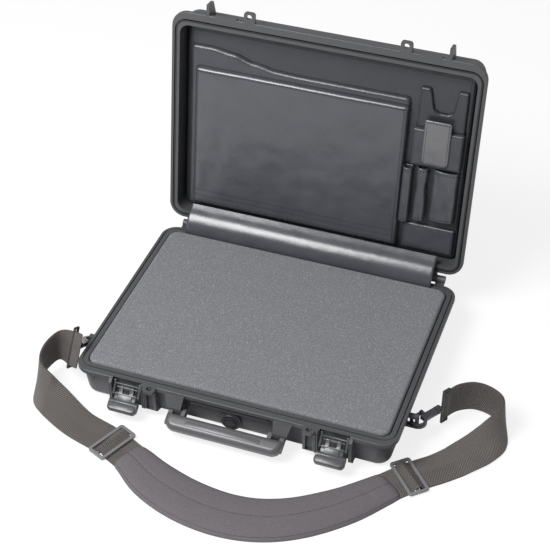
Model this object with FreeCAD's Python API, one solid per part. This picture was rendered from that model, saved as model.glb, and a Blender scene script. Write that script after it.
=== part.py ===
import FreeCAD
import Part
import math
import os

from FreeCAD import Placement, Rotation, Vector

# A hard case for a laptop, open: a ribbed base with a foam block, a lid with a leather organizer,
# two lever latches with wire bails, a folding handle, a purge valve and a padded shoulder strap.
# Millimetres. X runs to the right, Y to the back and Z up. The origin is on the floor, under the
# middle of the base's rim. "out" is a distance forward of the front wall line, "drop" a distance
# below the base's rim, and "deep" a distance from the lid's rim into the lid.

# Overall sizes
rim_width = 430.0
rim_depth = 316.0
base_height = 50.0
lid_height = 46.0
rim_gap = 0.4
lid_front_setback = 3.5
corner_radius = 22.0
wall = 3.5
flange_height = 6.0
lid_flange_height = 5.0
wall_setback = 5.5
draft_inset = 4.5
floor_rounding = 11.0
corner_rounding = 18.0
edge_rounding = 1.2
overrun = 2.0
running_gap = 0.3

# Rim: groove, inner edge and the lid's seal
groove_from_side = 4.0
groove_from_front = 8.5
groove_width = 1.5
groove_depth = 2.5
cavity_from_side = 11.5
cavity_from_front = 14.2
cavity_from_back = 11.7
cavity_corner = 13.0
lid_cavity_from_front = 18.5
seal_width = 2.0
seal_from_front = 11.5
seal_height = 3.2
seal_stand = 0.25

# Foam in the base
foam_stand = 4.0
foam_side_gap = 1.5
foam_taper = 5.5
foam_floor_gap = 0.3
foam_pad_thickness = 4.0
foam_pad_margin = 14.0

# Hinge and the lid's angle
hinge_behind_rim = 9.8
hinge_above_rim = 1.5
hinge_knuckle_radius = 5.4
hinge_pin_radius = 2.0
hinge_pin_clearance = 0.05
hinge_end_gap = 0.4
hinge_from_side = 46.0
hinge_base_knuckle = 12.0
hinge_lid_knuckle = 24.0
lid_open_angle = 98.28

# Front wall line and the latch stations
front_line_setback = 4.6
latch_from_side = 76.3
station_inside = 39.7
station_outside = 24.3
station_out = 5.0
station_top = 1.0
station_bottom = 44.0
station_toe = 4.0
station_back = 8.0
fin_inside = 19.8
fin_outside = 23.8
fin_out = 10.0
fin_bottom = 38.0
boss_end = 20.7
boss_out = 8.5
boss_bottom = 41.0
pocket_start = 36.7
pocket_end = 27.2
pocket_top = 5.0
pocket_bottom = 37.0
pocket_back = 1.0
rib_width = 1.4
rib_out = 1.2
rib_pitch = 2.6
rib_count = 2
recess_half_width = 19.7
recess_back = -1.8
recess_bottom = 43.0
recess_lip = 1.0
recess_lip_out = 2.0

# Padlock ears
ear_start = 40.2
ear_end = 24.7
ear_reach = 15.6
ear_rounding = 4.0
ear_thickness = 4.0
padlock_hole_radius = 3.75
padlock_hole_from_latch = 32.2
padlock_hole_out = 8.6
ear_fin_width = 2.4
ear_fin_height = 4.5

# Latch: lever on a base pin, wire bail on the lever
latch_pin_out = 4.5
latch_pin_drop = 14.0
latch_pin_radius = 1.2
latch_pin_length = 28.0
latch_knuckle_radius = 2.5
latch_lug_width = 9.0
latch_bore_clearance = 0.05
bail_pin_out = 10.0
bail_pin_drop = 21.0
bail_pin_radius = 1.1
bail_pin_length = 37.4
bail_arm_inside = 31.6
bail_arm_thickness = 2.6
bail_arm_width = 3.4
bail_rod_out = 3.0
bail_rod_drop = 9.5
bail_rod_radius = 1.3
bail_tip_out = 1.9
bail_tip_drop = 5.6
lever_root_radius = 2.7
lever_web_width = 5.0
lever_plate_width = 28.6
lever_plate_thickness = 3.0
lever_lip_out = 23.6
lever_lip_drop = 30.6
lever_lip_radius = 4.0
lever_lip_width = 39.0
lever_lip_depth = 11.0

# Strike and guard fins on the lid's front
strike_half_width = 15.2
strike_out = 2.3
strike_height = 3.0
strike_slope = 2.0
lid_fin_inside = 23.7
lid_fin_outside = 27.7
lid_fin_out = 15.0
lid_fin_tall = 27.0
lid_fin_front_tall = 16.0
lid_fin_root = 7.0

# Handle brackets, handle and the wall between them
bracket_start = 79.2
bracket_end = 53.7
bracket_top = 2.0
bracket_shoulder_out = 9.0
bracket_shoulder_drop = 6.0
bracket_nose_out = 15.0
bracket_nose_drop = 17.0
bracket_foot_drop = 18.4
bracket_foot_start = 76.7
bracket_foot_end = 59.7
tongue_start = 77.7
tongue_end = 67.7
tongue_out = 14.0
tongue_nose_drop = 20.0
tongue_nose_bottom = 28.0
tongue_toe_out = 11.0
tongue_toe_drop = 30.0
tongue_back_drop = 35.0
handle_pivot_out = 11.0
handle_pivot_drop = 24.0
handle_pin_radius = 1.8
handle_pin_start = 83.2
handle_pin_end = 61.7
handle_eye_radius = 4.6
handle_prong_start = 83.7
handle_prong_end = 78.2
handle_arm_start = 67.2
handle_arm_end = 61.2
handle_corner = 13.0
handle_grip_out = 26.5
handle_grip_drop = 30.0
handle_grip_depth = 21.0
handle_grip_height = 17.0
handle_grip_rounding = 7.0
handle_gusset_start = 11.6
handle_core_radius = 3.0
ridge_end = 86.7
ridge_height = 4.0
ridge_valve_gap = 3.0
ridge_out = 3.0

# Purge valve
valve_x = 0.0
valve_height = 20.0
valve_radius = 11.75
valve_flange_thickness = 1.6
valve_stem_radius = 6.0
valve_stem_reach = 11.4
valve_knob_radius = 8.0
valve_knob_thickness = 1.9
valve_knob_groove = 0.8
valve_knob_grip = 2.4
valve_nut_radius = 7.2
valve_nut_thickness = 3.0
valve_nut_gap = 0.42
valve_pad_radius = 14.0
valve_pad_out = 0.6

# Strap lugs on the side walls
lug_from_front = 73.0
lug_depth = 6.5
lug_top = 12.0
lug_bottom = 30.0
lug_reach = 11.0
lug_bar = 4.2
lug_arm = 4.0
lug_root = 10.0

# Snap hooks, seen from the lug: a ring with a gate, a shank, a swivel and a loop for the webbing
hook_ring_inner = 7.0
hook_ring_wire = 4.0
hook_thickness = 6.0
hook_shank = 20.0
hook_shank_width = 9.0
hook_gate_opening = 10.0
hook_gate_length = 11.0
hook_gate_width = 3.0
hook_gate_gap = 0.3
hook_swivel_radius = 5.5
hook_swivel_length = 7.0
hook_swivel_gap = 0.3
hook_neck_radius = 2.2
hook_loop_inside = 50.0
hook_loop_bar = 3.6
hook_loop_gap = 5.0
hook_level_drop = 21.0
hook_pull = 2.7
left_hook_pull = 1.3
right_hook_heading = 57.0
left_hook_heading = -97.0
left_hook_rise = 28.0
left_hook_lift = 1.8
left_webbing_leaves = -105.0

# Webbing, sliders and pad of the shoulder strap; the routes are in strap modules
strap_module = 10.0
webbing_width = 48.0
webbing_thickness = 1.8
webbing_steps = 3
webbing_lift = 0.1
slider_length = 58.0
slider_width = 28.0
slider_thickness = 3.2
slider_bar = 4.0
slider_slot = 50.0
slider_heading_left = -24.0
slider_heading_right = 42.0
pad_thickness = 9.0
pad_edge_thickness = 3.2

# Each place is a distance right of its side of the rim, behind the rim's front and above the floor,
# in strap modules, then the tilt of the width in degrees
right_webbing_shares = (
    (4.8, 13.1, 3.0, 90.0),
    (6.6, 14.1, 3.0, 90.0),
    (8.6, 14.1, 2.8, 90.0),
    (10.4, 13.1, 2.6, 88.0),
    (11.1, 11.3, 2.4, 76.0),
    (10.5, 9.3, 1.6, 45.0),
    (9.0, 7.4, 0.8, 18.0),
    (7.1, 5.2, 0.4, 6.0),
    (4.8, 2.9, -0.4, 0.0),
    (2.0, 0.4, -0.4, 0.0),
)
left_webbing_shares = (
    (-3.8, 3.9, 4.2, 88.0),
    (-4.9, 1.8, 3.4, 86.0),
    (-4.7, -0.5, 2.7, 78.0),
    (-3.4, -2.1, 1.6, 50.0),
    (-1.2, -3.0, 0.6, 16.0),
    (2.9, -4.9, -0.4, 0.0),
    (8.2, -6.5, -0.4, 0.0),
)
# Each place along the pad is a share of the way from its left end to its right one, then a distance
# behind the rim's front and the pad's width in strap modules
pad_left_inside = 107.0
pad_right_outside = 2.0
pad_shares = (
    (0.0, -7.6, 4.6),
    (0.05, -8.5, 5.2),
    (0.155, -10.5, 6.2),
    (0.298, -12.1, 6.7),
    (0.453, -12.7, 6.8),
    (0.596, -12.0, 6.7),
    (0.727, -10.0, 6.4),
    (0.857, -6.7, 5.8),
    (0.957, -3.2, 5.0),
    (1.0, -1.5, 4.6),
)

# Organizer in the lid
board_from_side = 16.5
board_from_edge = 14.0
board_from_top = 28.0
board_deep = 20.0
board_thickness = 2.0
board_corner = 8.0
standoff_radius = 4.0
standoff_bore = 1.6
standoff_from_side = 28.5
standoff_from_end = 27.0
screw_radius = 1.5
screw_head_radius = 3.5
screw_head_height = 1.0
leather_gap = 0.3
board_gap = 0.1
rear_pocket_from_left = 5.5
pocket_from_right = 83.0
rear_pocket_bottom = 16.0
rear_pocket_deep = 14.2
rear_pocket_from_top = 26.0
rear_pocket_sweep = 19.0
rear_pocket_curve_shares = (
    (0.0, 1.0),
    (0.09, 1.0),
    (0.19, 0.82),
    (0.29, 0.36),
    (0.4, 0.05),
    (0.5, 0.0),
    (1.0, 0.0),
)
front_pocket_from_left = 14.5
front_pocket_bottom = 22.0
front_pocket_from_top = 55.0
front_pocket_deep = 7.0
front_pocket_rounding = 3.0
notch_pocket_start = 71.5
notch_pocket_end = 6.5
notch_pocket_bottom_from_top = 136.0
notch_pocket_left_from_top = 26.0
notch_pocket_right_from_top = 24.0
notch_from_top = 59.0
notch_from_right = 37.5
notch_pocket_shoulder = 12.0
notch_pocket_deep = 15.0
phone_pocket_start = 74.5
phone_pocket_end = 4.5
phone_pocket_top_from_top = 82.0
phone_pocket_bottom_from_top = 138.0
phone_pocket_deep = 8.0
flap_start = 58.5
flap_end = 22.5
flap_top_from_top = 67.0
flap_bottom_from_top = 133.0
flap_thickness = 2.0
flap_corner = 7.0
loop_wall = 1.6
loops_from_right = (76.0, 55.5, 23.5)
loop_widths = (13.4, 15.6, 34.0)
loop_tops_from_top = (142.0, 139.0, 138.4)
loop_bottoms = (64.0, 70.0, 74.0)
loop_deep = 5.5
loop_rounding = 5.8
lower_panel_start = 75.5
lower_panel_end = 3.5
lower_panel_top = 60.0
lower_panel_bottom = 20.0
lower_panel_deep = 15.0

# Leather cover over the hinge: distances behind the rim's back and above the base's rim
cover_from_left = 33.0
cover_from_right = 37.0
cover_thickness = 1.5
cover_lid_behind = 19.0
cover_lid_above = 33.0
cover_fold_behind = 8.5
cover_fold_above = 27.0
cover_bulge_inside = 3.5
cover_bulge_above = 17.0
cover_low_inside = 9.4
cover_low_above = 8.0
cover_tuck_inside = 11.5
cover_tuck_above = 0.4

# Worked out from the sizes above
half_width = rim_width / 2
back_y = rim_depth / 2
front_y = -back_y
wall_line_y = front_y + front_line_setback
lid_rim_z = base_height + rim_gap
lid_top_z = lid_rim_z + lid_height
lid_front_y = front_y + lid_front_setback
hinge_y = back_y + hinge_behind_rim
hinge_z = base_height + hinge_above_rim
knuckle_span = hinge_lid_knuckle / 2 + hinge_end_gap + hinge_base_knuckle
hinge_places = (-half_width + hinge_from_side, 0.0, half_width - hinge_from_side)

# The front's parts keep their distance from the latch, which keeps its own from the side
latch_x = half_width - latch_from_side
station_inner = latch_x - station_inside
station_outer = latch_x + station_outside
fin_inner = latch_x + fin_inside
fin_outer = latch_x + fin_outside
boss_outer = latch_x - boss_end
pocket_inner = latch_x - pocket_start
pocket_outer = latch_x - pocket_end
recess_inner = latch_x - recess_half_width
recess_outer = latch_x + recess_half_width
ear_inner = latch_x - ear_start
ear_outer = latch_x - ear_end
padlock_hole_x = latch_x - padlock_hole_from_latch
lid_fin_inner = latch_x + lid_fin_inside
lid_fin_outer = latch_x + lid_fin_outside
bracket_inner = latch_x - bracket_start
bracket_outer = latch_x - bracket_end
bracket_foot_inner = latch_x - bracket_foot_start
bracket_foot_outer = latch_x - bracket_foot_end
tongue_inner = latch_x - tongue_start
tongue_outer = latch_x - tongue_end
handle_pin_inner = latch_x - handle_pin_start
handle_pin_outer = latch_x - handle_pin_end
handle_prong_inner = latch_x - handle_prong_start
handle_prong_outer = latch_x - handle_prong_end
handle_arm_inner = latch_x - handle_arm_start
handle_arm_outer = latch_x - handle_arm_end
ridge_half_width = latch_x - ridge_end
valve_drop = base_height - valve_height
ridge_bottom = valve_drop - valve_pad_radius - ridge_valve_gap
ridge_top = ridge_bottom - ridge_height

# The organizer's parts keep their distance from the board's right edge, its bottom or its top
board_half_width = half_width - board_from_side
board_length = rim_depth - board_from_edge - board_from_top
board_top = board_from_edge + board_length
standoff_x = board_half_width - standoff_from_side
standoff_rows = (board_from_edge + standoff_from_end,
                 board_from_edge + board_length / 2,
                 board_top - standoff_from_end)
rear_pocket_left = rear_pocket_from_left - board_half_width
rear_pocket_right = board_half_width - pocket_from_right
rear_pocket_peak = board_top - rear_pocket_from_top
rear_pocket_low = rear_pocket_peak - rear_pocket_sweep
front_pocket_left = front_pocket_from_left - board_half_width
front_pocket_right = rear_pocket_right
front_pocket_top = board_top - front_pocket_from_top
notch_pocket_left = board_half_width - notch_pocket_start
notch_pocket_right = board_half_width - notch_pocket_end
notch_pocket_bottom = board_top - notch_pocket_bottom_from_top
notch_pocket_left_top = board_top - notch_pocket_left_from_top
notch_pocket_right_top = board_top - notch_pocket_right_from_top
notch_pocket_notch = board_top - notch_from_top
notch_pocket_notch_x = board_half_width - notch_from_right
phone_pocket_left = board_half_width - phone_pocket_start
phone_pocket_right = board_half_width - phone_pocket_end
phone_pocket_top = board_top - phone_pocket_top_from_top
phone_pocket_bottom = board_top - phone_pocket_bottom_from_top
flap_left = board_half_width - flap_start
flap_right = board_half_width - flap_end
flap_top = board_top - flap_top_from_top
flap_bottom = board_top - flap_bottom_from_top
lower_panel_left = board_half_width - lower_panel_start
lower_panel_right = board_half_width - lower_panel_end

# The strap's lugs keep their distance from the front, and its pad spreads with the sides
lug_y = front_y + lug_from_front
pad_left_x = pad_left_inside - half_width
pad_right_x = half_width + pad_right_outside


def make_box(low, high):
    """A box between two opposite corners."""
    size = [b - a for a, b in zip(low, high)]
    return Part.makeBox(size[0], size[1], size[2], Vector(*low))


def rounded_outline(half, low_y, high_y, radius, z):
    """A rounded rectangle, centred on x = 0, as one closed wire."""
    left, right = -half, half
    k = radius * math.sqrt(0.5)
    edges = []
    corners = (
        (right - radius, low_y + radius, 0.0, -1.0, 1.0, 0.0),
        (right - radius, high_y - radius, 1.0, 0.0, 0.0, 1.0),
        (left + radius, high_y - radius, 0.0, 1.0, -1.0, 0.0),
        (left + radius, low_y + radius, -1.0, 0.0, 0.0, -1.0),
    )
    ends = []
    for cx, cy, ax, ay, bx, by in corners:
        start = Vector(cx + ax * radius, cy + ay * radius, z)
        middle = Vector(cx + (ax + bx) * k, cy + (ay + by) * k, z)
        end = Vector(cx + bx * radius, cy + by * radius, z)
        ends.append((start, middle, end))
    for index, (start, middle, end) in enumerate(ends):
        edges.append(Part.Arc(start, middle, end).toShape())
        following = ends[(index + 1) % len(ends)][0]
        edges.append(Part.LineSegment(end, following).toShape())
    return Part.Wire(edges)


def rounded_prism(half, low_y, high_y, radius, low_z, high_z):
    """A rounded rectangle extruded between two heights."""
    face = Part.Face(rounded_outline(half, low_y, high_y, radius, low_z))
    return face.extrude(Vector(0, 0, high_z - low_z))


def drafted_block(half, low_y, high_y, radius, inset, rim_z, floor_z, rounding):
    """A block that narrows from its rim to its floor, with the floor's edge rounded."""
    rim = rounded_outline(half, low_y, high_y, radius, rim_z)
    floor = rounded_outline(half - inset, low_y + inset, high_y - inset, radius, floor_z)
    block = Part.makeLoft([rim, floor], True, True)
    edges = [e for e in block.Edges if all(abs(v.Z - floor_z) < running_gap for v in e.Vertexes)]
    return block.makeFillet(rounding, edges)


def side_prism(points, low_x, high_x):
    """An outline of (y, z) points extruded along X."""
    corners = [Vector(low_x, y, z) for y, z in points]
    wire = Part.makePolygon(corners + corners[:1])
    return Part.Face(wire).extrude(Vector(high_x - low_x, 0, 0))


def front_prism(points, low_x, high_x):
    """An outline of (out, drop) points extruded along X."""
    return side_prism([front_point(out, drop) for out, drop in points], low_x, high_x)


def front_point(out, drop):
    """The (y, z) place of a distance forward of the wall line and below the rim."""
    return wall_line_y - out, base_height - drop


def rod_x(y, z, radius, low_x, high_x):
    """A round rod along X."""
    return Part.makeCylinder(radius, high_x - low_x, Vector(low_x, y, z), Vector(1, 0, 0))


def rod_y(x, z, radius, low_y, high_y):
    """A round rod along Y."""
    return Part.makeCylinder(radius, high_y - low_y, Vector(x, low_y, z), Vector(0, 1, 0))


def rod_z(x, y, radius, low_z, high_z):
    """A round rod along Z."""
    return Part.makeCylinder(radius, high_z - low_z, Vector(x, y, low_z), Vector(0, 0, 1))


def bar_between(first, second, half, low_x, high_x):
    """A flat bar along X's slice whose middle line joins two (y, z) places, with round ends."""
    dy = second[0] - first[0]
    dz = second[1] - first[1]
    length = math.hypot(dy, dz)
    ny = -dz / length * half
    nz = dy / length * half
    outline = (
        (first[0] + ny, first[1] + nz),
        (second[0] + ny, second[1] + nz),
        (second[0] - ny, second[1] - nz),
        (first[0] - ny, first[1] - nz),
    )
    bar = side_prism(outline, low_x, high_x)
    bar = bar.fuse(rod_x(first[0], first[1], half, low_x, high_x))
    return bar.fuse(rod_x(second[0], second[1], half, low_x, high_x))


def join(shapes):
    """One solid from pieces that touch or overlap."""
    shape = shapes[0]
    if len(shapes) > 1:
        shape = shape.fuse(shapes[1:])
    return shape.removeSplitter()


def mirrored(shape, side):
    """The shape as it is for the right side, or its mirror image for the left."""
    if side > 0:
        return shape
    return shape.mirror(Vector(0, 0, 0), Vector(1, 0, 0))


def opened(shape):
    """A piece of the closed lid, turned to the angle at which the lid stands open."""
    turned = shape.copy()
    turned.rotate(Vector(0, hinge_y, hinge_z), Vector(1, 0, 0), -lid_open_angle)
    return turned


def lid_box(left, right, bottom, top, deep, deeper):
    """A box in the lid: two places along X, two up the open lid and two into it."""
    return make_box((left, back_y - top, lid_rim_z + deep), (right, back_y - bottom, lid_rim_z + deeper))


def rim_ring(inner, outer, low_z, high_z):
    """The band between two rounded rectangles, each given as half width, two y and a radius."""
    return rounded_prism(*outer, low_z, high_z).cut(
        rounded_prism(*inner, low_z - overrun, high_z + overrun))


def rim_step(side, front, back, radius, low_front=None):
    """A rounded rectangle set in from the rim by a distance at the sides, front and back."""
    start = front_y if low_front is None else low_front
    return half_width - side, start + front, back_y - back, radius


def latch_station(side):
    """The raised block round one latch, with its guard fin, padlock boss and ribs."""
    body = front_prism((
        (-station_back, station_top),
        (station_out, station_top),
        (station_out, station_bottom - station_toe),
        (station_out - station_toe, station_bottom),
        (-station_back, base_height - wall),
    ), station_inner, station_outer)
    fin = front_prism((
        (-station_back, station_top),
        (fin_out - station_toe, station_top),
        (fin_out, station_top + station_toe),
        (fin_out, fin_bottom),
        (station_out - station_toe, station_bottom + station_toe),
        (-station_back, base_height - wall),
    ), fin_inner, fin_outer)
    boss = front_prism((
        (-station_back, 0.0),
        (boss_out, 0.0),
        (boss_out, boss_bottom - station_toe),
        (station_out, boss_bottom),
        (-station_back, base_height - wall),
    ), ear_inner, boss_outer)
    recess = front_prism((
        (recess_back, recess_lip),
        (fin_out + overrun, recess_lip),
        (fin_out + overrun, base_height),
        (station_out - station_toe, base_height),
        (recess_back, recess_bottom),
    ), recess_inner, recess_outer)
    mouth = front_prism((
        (recess_lip_out, -overrun),
        (fin_out + overrun, -overrun),
        (fin_out + overrun, station_bottom),
        (recess_lip_out, station_bottom),
    ), recess_inner, recess_outer)
    pocket = front_prism((
        (pocket_back, pocket_top),
        (boss_out + overrun, pocket_top),
        (boss_out + overrun, pocket_bottom),
        (station_out, pocket_bottom),
    ), pocket_inner, pocket_outer)
    pieces = [body, fin, boss]
    for index in range(rib_count):
        edge = boss_outer - rib_pitch * index
        pieces.append(front_prism((
            (0.0, station_toe),
            (boss_out + rib_out, station_toe + rib_out),
            (boss_out + rib_out, boss_bottom - station_toe),
            (0.0, boss_bottom),
        ), edge - rib_width, edge))
    pin_y, pin_z = front_point(latch_pin_out, latch_pin_drop)
    lug_low = latch_x - latch_lug_width / 2
    lug_high = latch_x + latch_lug_width / 2
    lug = rod_x(pin_y, pin_z, latch_knuckle_radius, lug_low, lug_high)
    lug = lug.fuse(make_box((lug_low, pin_y, pin_z - latch_knuckle_radius),
                            (lug_high, wall_line_y + station_back, pin_z + latch_knuckle_radius)))
    added = join(pieces)
    pin = rod_x(pin_y, pin_z, latch_pin_radius, lug_low - overrun, lug_high + overrun)
    return mirrored(added, side), mirrored(join([recess, mouth]), side), \
        mirrored(pocket, side), mirrored(lug.cut(pin), side)


def ear(side, low_z, high_z, with_fin):
    """A padlock ear: a flat plate at the rim, with a hole for a shackle."""
    out_y = wall_line_y - ear_reach
    plate = make_box((ear_inner, out_y, low_z), (ear_outer, wall_line_y + station_back, high_z))
    edges = [e for e in plate.Edges if len(e.Vertexes) == 2
             and all(abs(v.Y - out_y) < running_gap for v in e.Vertexes)
             and abs(e.Vertexes[0].Z - e.Vertexes[1].Z) > running_gap]
    plate = plate.makeFillet(ear_rounding, edges)
    if with_fin:
        root_y = lid_front_y + edge_rounding
        outline = ((root_y, low_z), (out_y + ear_rounding, low_z),
                   (out_y + ear_rounding, high_z + edge_rounding), (root_y, high_z + ear_fin_height))
        plate = plate.fuse(side_prism(outline, ear_outer - ear_fin_width, ear_outer))
    hole = rod_z(padlock_hole_x, wall_line_y - padlock_hole_out, padlock_hole_radius,
                 low_z - overrun, high_z + overrun)
    return mirrored(plate.cut(hole), side)


def bracket(side):
    """A tapered bracket, with a tongue under it that the handle's fork straddles."""
    block = front_prism((
        (-station_back, bracket_top),
        (bracket_shoulder_out, bracket_top),
        (bracket_shoulder_out + edge_rounding, bracket_shoulder_drop),
        (bracket_nose_out, bracket_nose_drop),
        (bracket_nose_out, bracket_foot_drop),
        (-station_back, bracket_foot_drop),
    ), bracket_inner, bracket_outer)
    front, top = front_point(bracket_nose_out + overrun, bracket_top - overrun)
    foot = base_height - bracket_foot_drop - overrun
    corners = [Vector(bracket_inner, front, top), Vector(bracket_outer, front, top),
               Vector(bracket_foot_outer, front, foot), Vector(bracket_foot_inner, front, foot)]
    taper = Part.Face(Part.makePolygon(corners + corners[:1]))
    block = block.common(taper.extrude(Vector(0, bracket_nose_out + overrun + station_back, 0)))
    tongue = front_prism((
        (-station_back, bracket_nose_drop),
        (tongue_out, bracket_nose_drop),
        (bracket_nose_out, tongue_nose_drop),
        (bracket_nose_out, tongue_nose_bottom),
        (tongue_toe_out, tongue_toe_drop),
        (-station_back, tongue_back_drop),
    ), tongue_inner, tongue_outer)
    return mirrored(block.fuse(tongue).cut(handle_pin()), side)


def strap_lug(side):
    """A closed eye on the side wall, with an upright bar for the strap's hook."""
    inner_x = half_width - lug_root
    outer_x = half_width + lug_reach
    low = (inner_x, lug_y - lug_depth / 2, base_height - lug_bottom)
    high = (outer_x, lug_y + lug_depth / 2, base_height - lug_top + overrun)
    block = make_box(low, high)
    edges = [e for e in block.Edges if all(abs(v.X - outer_x) < running_gap for v in e.Vertexes)
             and abs(e.Vertexes[0].Y - e.Vertexes[1].Y) > running_gap]
    block = block.makeFillet(edge_rounding, edges)
    slot = make_box((half_width - wall, low[1] - overrun, low[2] + lug_arm),
                    (outer_x - lug_bar, high[1] + overrun, high[2] - lug_arm))
    return mirrored(block.cut(slot), side)


def knuckles_at(place):
    """The base's two knuckles of one hinge, as (low, high) along X, and the lid's one."""
    half = hinge_lid_knuckle / 2
    inner = half + hinge_end_gap
    outer = inner + hinge_base_knuckle
    return ((place - outer, place - inner), (place + inner, place + outer)), (place - half, place + half)


def base_hinge():
    """The base's knuckles and their webs."""
    pieces = []
    for place in hinge_places:
        spans, _ = knuckles_at(place)
        for low, high in spans:
            knuckle = rod_x(hinge_y, hinge_z, hinge_knuckle_radius, low, high)
            outline = (
                (back_y - overrun, base_height),
                (back_y - overrun, base_height - flange_height),
                (hinge_y, hinge_z - hinge_knuckle_radius),
                (hinge_y, base_height),
            )
            pieces.append(knuckle.fuse(side_prism(outline, low, high)))
    return pieces


def lid_hinge():
    """The lid's knuckles and their webs, for the closed lid."""
    pieces = []
    for place in hinge_places:
        _, (low, high) = knuckles_at(place)
        knuckle = rod_x(hinge_y, hinge_z, hinge_knuckle_radius, low, high)
        outline = (
            (back_y - overrun, lid_rim_z),
            (hinge_y, lid_rim_z),
            (hinge_y, hinge_z + hinge_knuckle_radius),
            (back_y - overrun, lid_rim_z + lid_flange_height),
        )
        pieces.append(knuckle.fuse(side_prism(outline, low, high)))
    return pieces


def hinge_bore(extra):
    """The hole for the hinge pins, along all the knuckles."""
    pieces = []
    for place in hinge_places:
        pieces.append(rod_x(hinge_y, hinge_z, hinge_pin_radius + extra,
                            place - knuckle_span - overrun, place + knuckle_span + overrun))
    return Part.makeCompound(pieces)


def base_shell():
    """The base: one moulded tub with its rim, stations, brackets, lugs and knuckles."""
    tub = drafted_block(half_width - wall_setback, front_y + wall_setback, back_y - wall_setback,
                        corner_rounding, draft_inset, base_height - flange_height / 2, 0.0, floor_rounding)
    ring = rounded_prism(half_width, front_y, back_y, corner_radius,
                         base_height - flange_height, base_height)
    rim_edges = [e for e in ring.Edges if all(abs(v.Z - base_height) < running_gap for v in e.Vertexes)]
    ring = ring.makeFillet(edge_rounding, rim_edges)
    pieces = [tub, ring]
    recesses = []
    pockets = []
    lugs = []
    for side in (-1, 1):
        station, recess, pocket, lug = latch_station(side)
        pieces += [station, ear(side, base_height - ear_thickness, base_height, False),
                   bracket(side), strap_lug(side)]
        recesses.append(recess)
        pockets.append(pocket)
        lugs.append(lug)
    pieces.append(front_prism((
        (-station_back, ridge_top),
        (ridge_out, ridge_top + edge_rounding),
        (ridge_out, ridge_bottom),
        (-station_back, ridge_bottom + station_toe),
    ), -ridge_half_width, ridge_half_width))
    valve_y, valve_z = front_point(valve_pad_out, valve_drop)
    pieces.append(rod_y(valve_x, valve_z, valve_pad_radius, valve_y, wall_line_y + station_back))
    pieces += base_hinge()
    shell = join(pieces)
    inner = drafted_block(half_width - wall_setback - wall, front_y + wall_setback + wall,
                          back_y - wall_setback - wall, corner_rounding - wall, draft_inset,
                          base_height - flange_height, wall, floor_rounding - wall / 2)
    mouth = rounded_prism(*rim_step(cavity_from_side, cavity_from_front, cavity_from_back, cavity_corner),
                          base_height - flange_height - overrun, base_height + overrun)
    groove = rim_ring(
        rim_step(groove_from_side + groove_width, groove_from_front + groove_width,
                 groove_from_side + groove_width, cavity_corner + groove_width),
        rim_step(groove_from_side, groove_from_front, groove_from_side, corner_rounding),
        base_height - groove_depth, base_height + overrun)
    shell = shell.cut([inner, mouth, groove] + recesses + pockets)
    shell = shell.fuse(lugs)
    bores = [hinge_bore(0.0)]
    for side in (-1, 1):
        bores.append(mirrored(handle_pin(), side))
        bores.append(mirrored(rod_z(padlock_hole_x, wall_line_y - padlock_hole_out, padlock_hole_radius,
                                    base_height - pocket_top, base_height + overrun), side))
    bores.append(rod_y(valve_x, valve_z, valve_stem_radius,
                       valve_y - overrun, wall_line_y + station_back + valve_stem_reach))
    return shell.cut(bores).removeSplitter()


def lid_shell():
    """The lid, built closed: one moulded tub with its rim, strikes, fins, ears and knuckles."""
    tub = drafted_block(half_width - wall_setback, lid_front_y + wall_setback, back_y - wall_setback,
                        corner_rounding, draft_inset, lid_rim_z + lid_flange_height / 2, lid_top_z,
                        floor_rounding)
    ring = rounded_prism(half_width, lid_front_y, back_y, corner_radius,
                         lid_rim_z, lid_rim_z + lid_flange_height)
    rim_edges = [e for e in ring.Edges if all(abs(v.Z - lid_rim_z) < running_gap for v in e.Vertexes)]
    ring = ring.makeFillet(edge_rounding, rim_edges)
    pieces = [tub, ring]
    for side in (-1, 1):
        strike = side_prism((
            (lid_front_y + lid_fin_root, lid_rim_z),
            (lid_front_y - strike_out, lid_rim_z),
            (lid_front_y - strike_out, lid_rim_z + strike_height),
            (lid_front_y, lid_rim_z + lid_flange_height),
            (lid_front_y + lid_fin_root, lid_rim_z + lid_flange_height + strike_slope),
        ), latch_x - strike_half_width, latch_x + strike_half_width)
        fin = side_prism((
            (lid_front_y + lid_fin_root, lid_rim_z),
            (lid_front_y - lid_fin_out, lid_rim_z),
            (lid_front_y - lid_fin_out, lid_rim_z + lid_fin_front_tall),
            (lid_front_y + lid_fin_root, lid_rim_z + lid_fin_tall),
        ), lid_fin_inner, lid_fin_outer)
        pieces += [mirrored(strike, side), mirrored(fin, side),
                   ear(side, lid_rim_z, lid_rim_z + ear_thickness, True)]
    pieces += lid_hinge()
    shell = join(pieces)
    inner = drafted_block(half_width - wall_setback - wall, lid_front_y + wall_setback + wall,
                          back_y - wall_setback - wall, corner_rounding - wall, draft_inset,
                          lid_rim_z + lid_flange_height, lid_top_z - wall, floor_rounding - wall / 2)
    mouth = rounded_prism(*rim_step(cavity_from_side, lid_cavity_from_front, cavity_from_back,
                                    cavity_corner, lid_front_y),
                          lid_rim_z - overrun, lid_rim_z + lid_flange_height + overrun)
    channel = rim_ring(
        rim_step(groove_from_side + groove_width + seal_width, seal_from_front + seal_width,
                 groove_from_side + groove_width + seal_width, cavity_corner, lid_front_y),
        rim_step(groove_from_side, seal_from_front - groove_width, groove_from_side,
                 corner_rounding, lid_front_y),
        lid_rim_z - overrun, lid_rim_z + seal_height)
    shell = shell.cut([inner, mouth, channel, hinge_bore(hinge_pin_clearance)])
    posts = standoffs()
    return shell.fuse(posts).removeSplitter()


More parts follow.
